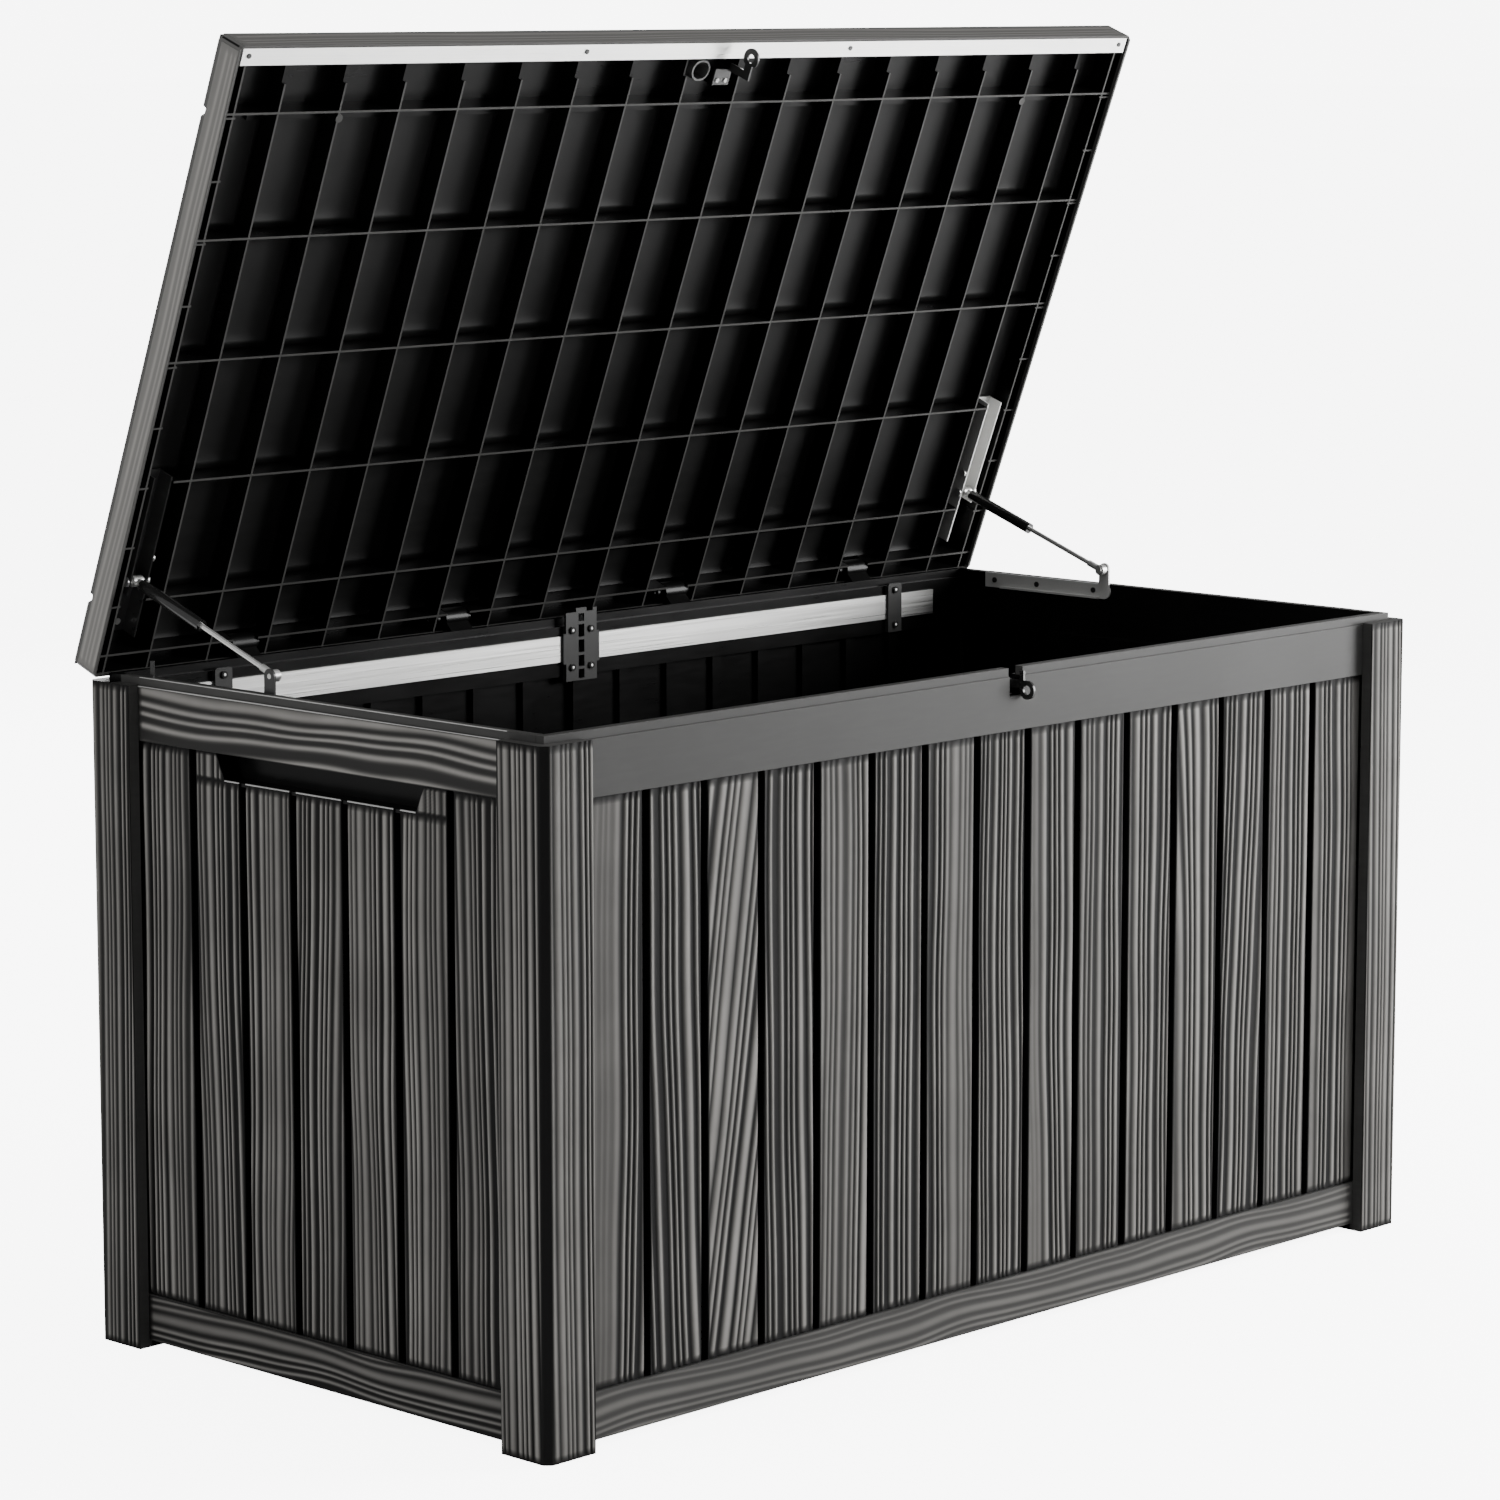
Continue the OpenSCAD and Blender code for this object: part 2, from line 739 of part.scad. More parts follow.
// Hasp tongue: foot under the lid and a plate with a hole hanging from it.
module lock_tongue() {
    x1 = eye_x - 2;
    x0 = x1 - 2.5;
    color("#1e1e1e")
        open_lid()
            difference() {
                union() {
                    slab_x(x0, x1) {
                        intersection() {
                            translate([eye_y, eye_z]) circle(r = 12, $fn = 64);
                            translate([eye_y - 13, eye_z - 13]) square([21.4, 26]);
                        }
                        translate([eye_y, 754]) square([27, 11]);
                        translate([-354, 754]) square([10, lid_low + 5 - 754]);
                    }
                    block([0, lid_back - 732, lid_low + 3], [x1, lid_back - 712, lid_low + 5]);
                }
                bar_x(x0 - 1, x1 + 1, eye_y, eye_z, eye_r);
                for (x = tongue_screw_xs)
                    translate([x, lid_back - 718, lid_low]) cylinder(h = 9, r = 1.6, $fn = 24);
            }
}

module lock_tongue_screws() {
    color("#8c8c8c")
        open_lid()
            for (x = tongue_screw_xs)
                translate([x, lid_back - 718, lid_low + 3]) rotate([90, 0, 0])
                    screw_y(2.8, 1.2, 1.6, 5);
}

// ---- struts ----

module strut_rod() {
    rotate([-90, 0, 0]) translate([0, 0, 12]) cylinder(h = rod_len - 12, r = rod_r, $fn = 48);
    rotate([-90, 0, 0]) translate([0, 0, rod_len - 8]) cylinder(h = 8, r = 4.8, $fn = 48);
}

module strut_rod_left() {
    color("#d6d6d8") on_strut(-1) strut_rod();
}

module strut_rod_right() {
    color("#d6d6d8") on_strut(1) strut_rod();
}

// Eye on the rod, turning on the stud of the box bracket.
module rod_end() {
    difference() {
        union() {
            bar_x(-4, 4, 0, 0, 7);
            rotate([-90, 0, 0]) translate([0, 0, 5]) cylinder(h = 17, r = 4.2, $fn = 48);
        }
        bar_x(-5, 5, 0, 0, 3 + pin_gap);
        rotate([-90, 0, 0]) translate([0, 0, 12]) cylinder(h = 12, r = rod_r, $fn = 48);
    }
}

module rod_end_left() {
    color("#a9aaac") on_strut(-1) rod_end();
}

module rod_end_right() {
    color("#a9aaac") on_strut(1) rod_end();
}

// Tube from just under the lid pivot to the open end the rod comes out of.
module strut_tube() {
    far = strut_len - 12;
    near = strut_len - tube_end;
    difference() {
        rotate([-90, 0, 0]) translate([0, 0, near]) cylinder(h = far - near, r = tube_r, $fn = 64);
        rotate([-90, 0, 0]) translate([0, 0, near + 5])
            cylinder(h = far - near - 9, r = 5.2, $fn = 64);
        rotate([-90, 0, 0]) translate([0, 0, near - 1]) cylinder(h = 8, r = rod_r + pin_gap, $fn = 48);
    }
}

module strut_tube_left() {
    color("#1d1d1e") on_strut(-1) strut_tube();
}

module strut_tube_right() {
    color("#1d1d1e") on_strut(1) strut_tube();
}

// Eye at the top of the tube, level with the studs of the lid channel.
module tube_end_piece() {
    translate([0, strut_len, 0]) {
        bar_x(-tube_r, tube_r, 0, 0, 6.5);
        rotate([90, 0, 0]) translate([0, 0, 5]) cylinder(h = 7, r = 5, $fn = 48);
    }
}

module tube_end_left() {
    color("#a9aaac") on_strut(-1) tube_end_piece();
}

module tube_end_right() {
    color("#a9aaac") on_strut(1) tube_end_piece();
}

base_panel();
front_panel();
rear_panel_left();
rear_panel_right();
side_panel_left();
side_panel_right();
post_front_left();
post_front_right();
post_rear_left();
post_rear_right();
rear_bar_left();
rear_bar_right();
rear_splice_plate();
splice_screws();
bar_clip_left();
bar_clip_right();
clip_screws();
strut_bracket_left();
strut_bracket_right();
bracket_screws();
ball_stud_left();
ball_stud_right();
lock_eye();
lock_eye_screws();
hinge_pins();
lid_panel();
lid_front_bar();
lid_bar_screws();
lid_channel_left();
lid_channel_right();
lid_channel_screws();
lid_studs_left();
lid_studs_right();
lock_tongue();
lock_tongue_screws();
strut_rod_left();
strut_rod_right();
rod_end_left();
rod_end_right();
strut_tube_left();
strut_tube_right();
tube_end_left();
tube_end_right();
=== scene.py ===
import json
import math
import bmesh
import bpy
import numpy as np
from mathutils import Matrix, Vector

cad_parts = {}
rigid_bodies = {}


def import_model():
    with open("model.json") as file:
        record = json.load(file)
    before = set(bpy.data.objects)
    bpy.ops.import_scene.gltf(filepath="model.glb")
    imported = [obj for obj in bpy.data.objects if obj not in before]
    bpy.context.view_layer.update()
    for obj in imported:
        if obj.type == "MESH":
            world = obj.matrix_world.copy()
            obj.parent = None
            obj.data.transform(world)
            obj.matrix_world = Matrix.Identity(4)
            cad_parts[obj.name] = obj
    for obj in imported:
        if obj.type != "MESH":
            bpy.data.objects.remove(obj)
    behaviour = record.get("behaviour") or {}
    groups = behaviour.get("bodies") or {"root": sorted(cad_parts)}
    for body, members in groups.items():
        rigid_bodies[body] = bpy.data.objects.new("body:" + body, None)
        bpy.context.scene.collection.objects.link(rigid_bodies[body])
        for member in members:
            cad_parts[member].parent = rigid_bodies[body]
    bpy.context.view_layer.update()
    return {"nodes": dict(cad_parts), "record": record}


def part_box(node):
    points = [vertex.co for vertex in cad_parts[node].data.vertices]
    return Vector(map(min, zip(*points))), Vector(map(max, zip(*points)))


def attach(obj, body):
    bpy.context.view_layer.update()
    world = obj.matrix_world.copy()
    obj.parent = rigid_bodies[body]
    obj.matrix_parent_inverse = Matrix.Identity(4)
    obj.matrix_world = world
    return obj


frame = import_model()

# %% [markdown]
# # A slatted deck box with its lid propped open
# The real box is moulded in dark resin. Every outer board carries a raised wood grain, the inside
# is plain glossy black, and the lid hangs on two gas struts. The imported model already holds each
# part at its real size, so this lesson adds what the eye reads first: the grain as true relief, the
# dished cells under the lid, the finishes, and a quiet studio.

MM = 0.001
record = frame["record"]
joints = {j["name"]: j for j in record["behaviour"]["joints"]}

# %% [markdown]
# ## The camera
# A long lens from the near left corner, a little above the rim, keeps the uprights upright and lets
# the eye see over the front wall and under the lid at once. It comes first, because every later
# choice is judged through it.

# %% Camera
cam_data = bpy.data.cameras.new("camera")
cam_data.sensor_width = 36.0
cam_data.lens = 121.4995
cam_data.clip_end = 200.0
camera = bpy.data.objects.new("camera", cam_data)
LOOK_DOWN, LOOK_ROUND = 0.1501058, -0.8051923  # radians
camera.location = (-4.36857, -4.15333, 1.56449)
camera.rotation_euler = (math.pi / 2 - LOOK_DOWN, 0.0, LOOK_ROUND)
bpy.context.collection.objects.link(camera)
bpy.context.scene.camera = camera
print("camera at", [round(v, 2) for v in camera.location])

# %% [markdown]
# ## Driving sizes
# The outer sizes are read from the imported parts, so the boards always fit them. What a box round a
# whole part can't tell is stated here: the levels of rails, rim and grips, and where grooves run.

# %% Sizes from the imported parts
post_low, post_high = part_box("post_front_right")
HALF_W = post_high.x
HALF_D = -post_low.y
POST_TOP = post_high.z
POST_FACE, POST_BEVEL = 71.5 * MM, 6.5 * MM
RAIL_INSET, SLAT_INSET = 14 * MM, 18 * MM  # how far rails and boards lie behind the posts
RAIL_LOW, RAIL_HIGH = 712 * MM, 775 * MM
FOOT_RAIL_LOW, FOOT_RAIL_HIGH = 9 * MM, 63 * MM
RIM_TOP, RIM_INSET = 784.6 * MM, 16.6 * MM
GRIP_LOW = 681 * MM
GRIP_TOP_X, GRIP_LOW_X = 172.5 * MM, 158.5 * MM  # half widths of a hand grip
GROOVE = 10 * MM
FRONT_COUNT, REAR_COUNT, SIDE_COUNT = 15, 16, 7
FRONT_PITCH, REAR_PITCH, SIDE_PITCH = 89.6 * MM, 84 * MM, 85.5 * MM
PLAY = 0.4 * MM  # left free between a board and its neighbours
LONG, SHORT = HALF_W - POST_FACE - PLAY, HALF_D - POST_FACE - PLAY
LID_W, LID_D, LID_H = 1511.5 * MM, 770 * MM, 37 * MM
LID_LOW = 782.5 * MM
LID_BACK = LID_D / 2
LID_SKIN = 5 * MM
LID_PITCH = 89.85 * MM
LID_RIBS = [(i - 7.5) * LID_PITCH for i in range(16)]
hinge = joints["lid_hinge"]
HINGE = Vector(hinge["pos_m"])
LID_OPEN = math.radians(hinge["range_deg"][1])
print("posts", round(HALF_W * 2, 4), "x", round(HALF_D * 2, 4), "x", round(POST_TOP, 4))
print("lid stands open", round(math.degrees(LID_OPEN), 1), "degrees")

# %% [markdown]
# ## Lid coordinates
# The lid is drawn open, so its pieces are easiest to think of closed and then swung up. A place on
# it is x, the distance forward from its back edge, and the height above its lower edge.

# %% From the closed lid to the open one
lid_turn = (Matrix.Translation(HINGE) @ Matrix.Rotation(-LID_OPEN, 4, "X")
            @ Matrix.Translation(-HINGE))


def on_lid(x, forward, up):
    """A place on the open lid."""
    return lid_turn @ Vector((x, LID_BACK - forward, LID_LOW + up))


def lid_way(x, forward, up):
    """A direction on the open lid."""
    return lid_turn.to_3x3() @ Vector((x, -forward, up))


print("free edge of the lid stands at z", round(on_lid(0, LID_D, 0).z, 4))

# %% [markdown]
# ## Finishes: shared effects
# Three effects return in many materials. Grain colours the relief by its height: its valleys are
# painted nearly black as shade, and its crests grey, the resin's tone with a painted highlight on
# top. Mottle is the faint cloudiness of moulded resin. Brushing is the fine streaking of rolled
# metal. Each is one node group, so a change in it shows everywhere at once.

# %% Node helpers


def link_in(tree, node, socket, value):
    """Sets a socket to a number or colour, or wires another socket to it."""
    if isinstance(value, bpy.types.NodeSocket):
        tree.links.new(value, node.inputs[socket])
    else:
        node.inputs[socket].default_value = value


def add(tree, kind, **inputs):
    """Adds a node and fills its inputs by name or by number."""
    node = tree.nodes.new(kind)
    for key, value in inputs.items():
        link_in(tree, node, int(key[1:]) if key[1:].isdigit() else key.replace("_", " "), value)
    return node


def maths(tree, operation, a, b=0.0, clamp=False):
    """One Math node; gives its output."""
    node = add(tree, "ShaderNodeMath", i0=a, i1=b)
    node.operation = operation
    node.use_clamp = clamp
    return node.outputs[0]


def ramp(tree, value, low, high, to_low=0.0, to_high=1.0):
    """Maps value from low..high to a new range, smoothly and clamped."""
    node = add(tree, "ShaderNodeMapRange", Value=value)
    node.interpolation_type = "SMOOTHSTEP"
    node.inputs["From Min"].default_value = low
    node.inputs["From Max"].default_value = high
    node.inputs["To Min"].default_value = to_low
    node.inputs["To Max"].default_value = to_high
    return node.outputs["Result"]


def blend_colours(tree, amount, a, b):
    """Mixes two colours."""
    node = tree.nodes.new("ShaderNodeMix")
    node.data_type = "RGBA"
    link_in(tree, node, 0, amount)
    link_in(tree, node, 6, a)
    link_in(tree, node, 7, b)
    return node.outputs[2]


def noise(tree, place, scale, detail=3.0, stretch=(1.0, 1.0, 1.0)):
    """Noise on a place, stretched along an axis where asked."""
    mapping = add(tree, "ShaderNodeMapping", Vector=place)
    mapping.inputs["Scale"].default_value = stretch
    node = add(tree, "ShaderNodeTexNoise", Vector=mapping.outputs[0], Scale=scale, Detail=detail)
    return node.outputs["Fac"]


def scaled_colour(tree, colour, factor):
    """A colour made darker or lighter by a factor."""
    node = tree.nodes.new("ShaderNodeVectorMath")
    node.operation = "SCALE"
    tree.links.new(colour, node.inputs[0])
    tree.links.new(factor, node.inputs["Scale"])
    return node.outputs[0]


COLOUR, NUMBER, PLACE = "NodeSocketColor", "NodeSocketFloat", "NodeSocketVector"
EFFECT_OUTPUTS = (("Colour", COLOUR), ("Roughness", NUMBER), ("Height", NUMBER))


def effect_group(name, inputs):
    """A shader node group for one effect; gives its tree and the outputs of its start."""
    tree = bpy.data.node_groups.new(name, "ShaderNodeTree")
    for label, kind in inputs:
        tree.interface.new_socket(label, in_out="INPUT", socket_type=kind)
    for label, kind in EFFECT_OUTPUTS:
        tree.interface.new_socket(label, in_out="OUTPUT", socket_type=kind)
    return tree, tree.nodes.new("NodeGroupInput").outputs


def close_group(tree, *results):
    """Wires colour, roughness and height to the end of an effect's group."""
    end = tree.nodes.new("NodeGroupOutput")
    for (label, _), result in zip(EFFECT_OUTPUTS, results):
        tree.links.new(result, end.inputs[label])
    return tree


def use(tree, group, **inputs):
    """Places a group in a material."""
    node = tree.nodes.new("ShaderNodeGroup")
    node.node_tree = group
    for key, value in inputs.items():
        link_in(tree, node, key.replace("_", " "), value)
    return node


print("node helpers ready")

# %% Grain, mottle and brushing groups


def grain_shade_group():
    """Colour, roughness and fine height of embossed grain from the height of its relief.

    The valleys are painted nearly black as shade, the crests lighter as a painted highlight.
    """
    tree, start = effect_group("grain_with_painted_shade", (("Place", PLACE), ("Relief", NUMBER),
                                                  ("Valley", COLOUR), ("Crest", COLOUR)))
    cloud = noise(tree, start["Place"], 9.0, 3.0)
    speck = noise(tree, start["Place"], 900.0, 2.0)
    lifted = maths(tree, "POWER", start["Relief"], 2.2)
    uneven = maths(tree, "MULTIPLY", lifted, ramp(tree, cloud, 0.3, 0.7, 0.86, 1.08), clamp=True)
    colour = blend_colours(tree, uneven, start["Valley"], start["Crest"])
    return close_group(tree, colour, ramp(tree, lifted, 0.0, 1.0, 0.62, 0.4), speck)


TINTED = (("Place", PLACE), ("Colour", COLOUR), ("Gloss", NUMBER))


def mottle_group():
    """Cloudy colour and roughness of smooth moulded resin."""
    tree, start = effect_group("moulded_mottle", TINTED)
    cloud = noise(tree, start["Place"], 6.0, 4.0)
    streak = noise(tree, start["Place"], 22.0, 4.0, (1.0, 1.0, 7.0))
    both = maths(tree, "ADD", maths(tree, "MULTIPLY", cloud, 0.6),
                 maths(tree, "MULTIPLY", streak, 0.4))
    colour = scaled_colour(tree, start["Colour"], ramp(tree, both, 0.35, 0.65, 0.9, 1.1))
    rough = maths(tree, "ADD", start["Gloss"], ramp(tree, both, 0.35, 0.65, -0.03, 0.04))
    return close_group(tree, colour, rough, noise(tree, start["Place"], 700.0, 2.0))


def brushed_group():
    """Fine streaks of rolled or brushed metal along X."""
    tree, start = effect_group("brushed_streaks", TINTED)
    fine = noise(tree, start["Place"], 60.0, 6.0, (0.06, 18.0, 18.0))
    broad = noise(tree, start["Place"], 4.0, 2.0)
    shade = maths(tree, "MULTIPLY", ramp(tree, fine, 0.3, 0.7, 0.95, 1.03),
                  ramp(tree, broad, 0.3, 0.7, 0.96, 1.03))
    rough = maths(tree, "ADD", start["Gloss"], ramp(tree, fine, 0.3, 0.7, -0.05, 0.08))
    return close_group(tree, scaled_colour(tree, start["Colour"], shade), rough, fine)


GRAIN_SHADE = grain_shade_group()
MOTTLE = mottle_group()
BRUSHED = brushed_group()
print("groups:", [g.name for g in bpy.data.node_groups])

# %% [markdown]
# ## Finishes: materials
# Each finish is a Principled shader fed by one of the groups. The walls and the lid are one
# moulding each, grey outside and glossy black inside, so their colour changes with depth behind the
# outer face, worked out from the object's own coordinates.

# %% Material helpers


def new_material(name, specular=0.5, coat=0.0):
    """A material with its Principled shader; gives the material, tree, shader and coordinates."""
    material = bpy.data.materials.new(name)
    material.use_nodes = True
    tree = material.node_tree
    shader = tree.nodes["Principled BSDF"]
    shader.inputs["Specular IOR Level"].default_value = specular
    shader.inputs["Coat Weight"].default_value = coat
    shader.inputs["Coat Roughness"].default_value = 0.08
    place = tree.nodes.new("ShaderNodeTexCoord").outputs["Object"]
    return material, tree, shader, place


def finish(tree, shader, effect, strength, distance):
    """Wires a group's colour, roughness and fine height to the shader."""
    tree.links.new(effect.outputs["Colour"], shader.inputs["Base Color"])
    tree.links.new(effect.outputs["Roughness"], shader.inputs["Roughness"])
    bump = add(tree, "ShaderNodeBump", Height=effect.outputs["Height"])
    bump.inputs["Strength"].default_value = strength
    bump.inputs["Distance"].default_value = distance
    tree.links.new(bump.outputs[0], shader.inputs["Normal"])


def grey(value, warm=1.0):
    """A nearly neutral grey."""
    return (value * warm, value, value * (2.0 - warm) * 0.98, 1.0)


def grain_shade_material(name, valley, crest):
    """Embossed resin coloured by the piece's relief attribute, with painted shade in the valleys."""
    material, tree, shader, place = new_material(name, specular=0.12)
    relief = tree.nodes.new("ShaderNodeAttribute")
    relief.attribute_name = "relief"
    effect = use(tree, GRAIN_SHADE, Place=place, Relief=relief.outputs["Fac"],
                 Valley=grey(valley, 1.02), Crest=grey(crest, 1.035))
    finish(tree, shader, effect, 0.12, 0.0003)
    return material


def plain_material(name, group, value, gloss, metallic=0.0, specular=0.5, coat=0.0, bump=0.1):
    """A finish of one colour through one of the shared effects."""
    material, tree, shader, place = new_material(name, specular, coat)
    shader.inputs["Metallic"].default_value = metallic
    effect = use(tree, group, Place=place, Colour=grey(value), Gloss=gloss)
    finish(tree, shader, effect, bump, 0.0002)
    return material


print("material helpers ready")

# %% Wall and lid resin: grey skin, black inside


def depth_behind(tree, place, half_x, half_y):
    """How far a point lies behind the outer faces of a box of that size, its height and its y."""
    split = add(tree, "ShaderNodeSeparateXYZ", Vector=place)
    in_x = maths(tree, "SUBTRACT", half_x, maths(tree, "ABSOLUTE", split.outputs["X"]))
    in_y = maths(tree, "SUBTRACT", half_y, maths(tree, "ABSOLUTE", split.outputs["Y"]))
    return maths(tree, "MINIMUM", in_x, in_y), split.outputs["Z"], split.outputs["Y"]


def two_tone(name, skin_value, inner_value, mask_of):
    """Resin that is satin grey where the mask is 0 and glossy black where it is 1."""
    material, tree, shader, place = new_material(name, specular=0.12)
    mask = mask_of(tree, place)
    effect = use(tree, MOTTLE, Place=place, Gloss=ramp(tree, mask, 0.0, 1.0, 0.42, 0.3),
                 Colour=blend_colours(tree, mask, grey(skin_value, 1.01), grey(inner_value)))
    finish(tree, shader, effect, 0.08, 0.0003)
    return material


WALL_SKIN = 17.2 * MM, 17.8 * MM  # the depths between which grey turns to black
LIP_SKIN = 26.5 * MM, 27.5 * MM
# Where the rim lip and the hinge lugs turn black towards the hinge: painted shade.
HINGE_SHADE = HALF_D - 40 * MM, HALF_D - 38 * MM
TOP_SKIN = 1.8 * MM, 2.4 * MM
# Heights over which the ribs' lower edges turn partly grey: a painted highlight.
RIB_HIGHLIGHT = LID_LOW + 5.05 * MM, LID_LOW + 5.5 * MM


def wall_mask(tree, place):
    """Black inside the walls. The rim lip stays grey.

    On the hinge side the lip and the hinge lugs are painted black as shade.
    """
    depth, height, y = depth_behind(tree, place, HALF_W, HALF_D)
    deep = ramp(tree, depth, *WALL_SKIN)
    lip = ramp(tree, height, RAIL_HIGH - 1.0 * MM, RAIL_HIGH)
    deep_on_lip = ramp(tree, depth, *LIP_SKIN)
    keep = maths(tree, "SUBTRACT", 1.0, lip)
    sides = maths(tree, "ADD", maths(tree, "MULTIPLY", deep, keep),
                  maths(tree, "MULTIPLY", deep_on_lip, lip))
    # Painted shade on the hinge side's lip and lugs.
    hinge_shade = ramp(tree, y, *HINGE_SHADE)
    return maths(tree, "ADD", sides, maths(tree, "MULTIPLY", hinge_shade, lip), clamp=True)


def lid_mask(tree, place):
    """Black but within 2 mm of the lid's outer faces, and partly grey on the ribs' lower edges.

    The grey on the rib edges is a painted highlight.
    """
    swing = add(tree, "ShaderNodeMapping", Vector=place)
    back = Matrix.Rotation(LID_OPEN, 4, "X")
    swing.inputs["Rotation"].default_value = (LID_OPEN, 0.0, 0.0)
    swing.inputs["Location"].default_value = HINGE - back @ HINGE
    depth, height, _ = depth_behind(tree, swing.outputs[0], LID_W / 2, LID_BACK)
    under_top = maths(tree, "SUBTRACT", LID_LOW + LID_H, height)
    inner = ramp(tree, maths(tree, "MINIMUM", depth, under_top), *TOP_SKIN)
    rib_highlight = ramp(tree, height, *RIB_HIGHLIGHT, 0.3, 1.0)
    return maths(tree, "MULTIPLY", inner, rib_highlight)


wall_resin = two_tone("wall_resin", 0.034, 0.002, wall_mask)
lid_resin = two_tone("lid_resin", 0.07, 0.002, lid_mask)
print("two-tone resins:", wall_resin.name, lid_resin.name)

# %% The other finishes
# Valley and crest colours of each grain: the near-black valleys are painted shade.
grain_front_shaded = grain_shade_material("grain_boards_shaded", 0.001, 0.19)
grain_soft_shaded = grain_shade_material("grain_soft_shaded", 0.004, 0.135)
grain_calm_shaded = grain_shade_material("grain_calm_shaded", 0.03, 0.1)
grain_lid_shaded = grain_shade_material("grain_lid_shaded", 0.035, 0.115)
grain_rail_shaded = grain_shade_material("grain_rail_shaded", 0.015, 0.19)
grain_skirt_shaded = grain_shade_material("grain_skirt_shaded", 0.13, 0.25)
grain_front_edge_shaded = grain_shade_material("grain_front_edge_shaded", 0.06, 0.09)
black_resin = plain_material("black_resin", MOTTLE, 0.007, 0.45, specular=0.13)
# Light grey of the edge beads: a painted highlight.
bead_painted_highlight = plain_material("bead_painted_highlight", MOTTLE, 0.3, 0.4)
# Grey of the moulded loop on the black lid: a painted highlight.
loop_painted_highlight = plain_material("loop_painted_highlight", MOTTLE, 0.06, 0.35)
bright_bar = plain_material("brushed_aluminium", BRUSHED, 0.86, 0.32, metallic=1.0, bump=0.02)
dark_plate = plain_material("dark_plate", MOTTLE, 0.02, 0.42, specular=0.3)
zinc = plain_material("zinc_steel", MOTTLE, 0.55, 0.3, metallic=0.75)
# Worn only by the right strut bracket and channel: the lit copy of the finish the left pair has in
# black.
satin_zinc_lit_side = plain_material("satin_zinc_lit_side", BRUSHED, 0.62, 0.36, metallic=0.35)
screw_steel = plain_material("screw_steel", MOTTLE, 0.3, 0.32, metallic=1.0)
black_metal = plain_material("black_metal", MOTTLE, 0.014, 0.28)
chrome = plain_material("rod_chrome", BRUSHED, 0.9, 0.12, metallic=0.8, bump=0.0)
tube_paint = plain_material("tube_paint", MOTTLE, 0.01, 0.18, specular=0.6, coat=0.6)
print("materials:", len(bpy.data.materials))

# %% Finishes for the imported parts
FINISHES = {
    "front_panel": wall_resin, "rear_panel": wall_resin, "side_panel": wall_resin,
    "post": wall_resin, "base_panel": black_resin, "lid_panel": lid_resin,
    "rear_bar": bright_bar, "lid_front_bar": bright_bar, "rear_splice_plate": dark_plate,
    # Painted light: the left and right strut brackets and channels are mirror parts of one finish,
    # but the left pair is painted black as shade and the right pair zinc grey as lit metal.
    "bar_clip": dark_plate, "strut_bracket_left": black_metal, "strut_bracket_right": satin_zinc_lit_side,
    "lid_channel_left": black_metal, "lid_channel_right": satin_zinc_lit_side, "lid_channel_screws": zinc,
    "ball_stud": zinc, "lid_studs": zinc, "rod_end": zinc, "tube_end": zinc,
    "strut_rod": chrome, "strut_tube": tube_paint, "lock_eye": black_metal,
    "lock_tongue": black_metal, "lock_eye_screws": screw_steel, "lock_tongue_screws": screw_steel,
    "splice_screws": black_metal, "clip_screws": black_metal, "bracket_screws": black_metal,
    "lid_bar_screws": black_metal, "hinge_pins": black_metal,
}


def finish_of(node):
    """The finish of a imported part: the one under the longest key that its name starts with."""
    return FINISHES[max((key for key in FINISHES if node.startswith(key)), key=len)]


for node, obj in frame["nodes"].items():
    obj.data.materials.clear()
    obj.data.materials.append(finish_of(node))
print("finished", len(frame["nodes"]), "packed parts")

# %% [markdown]
# ## Wood grain as relief
# Sawn wood shows its yearly rings as lines. A board cut near the heart shows arches, one cut far
# from it nearly straight lines. So each board is cut through a bundle of slightly wavy rings: the
# ring number at a point is its distance from a tilted heart line, and every ring raises one rounded
# ridge. Boards differ in where the heart lies, how much the rings lean and how sharp the ridges
# are. This gives the drifting ridges of the real moulding from a few numbers a board.

# %% The height of the grain


def waviness(rng, across, along, amount, reach):
    """A slow random wander, in metres. Each finer wave is shorter and weaker."""
    total = np.zeros_like(across)
    for step in range(4):
        turn = rng.uniform(0, 2 * math.pi, 2)
        slow = reach / (1.0 + 0.9 * step)
        swing = 0.7 * np.sin(2 * math.pi * across / 0.12 + turn[1])
        total += np.sin(2 * math.pi * along / slow + turn[0] + swing) / (1.0 + step) ** 1.5
    return amount * total / 2.0


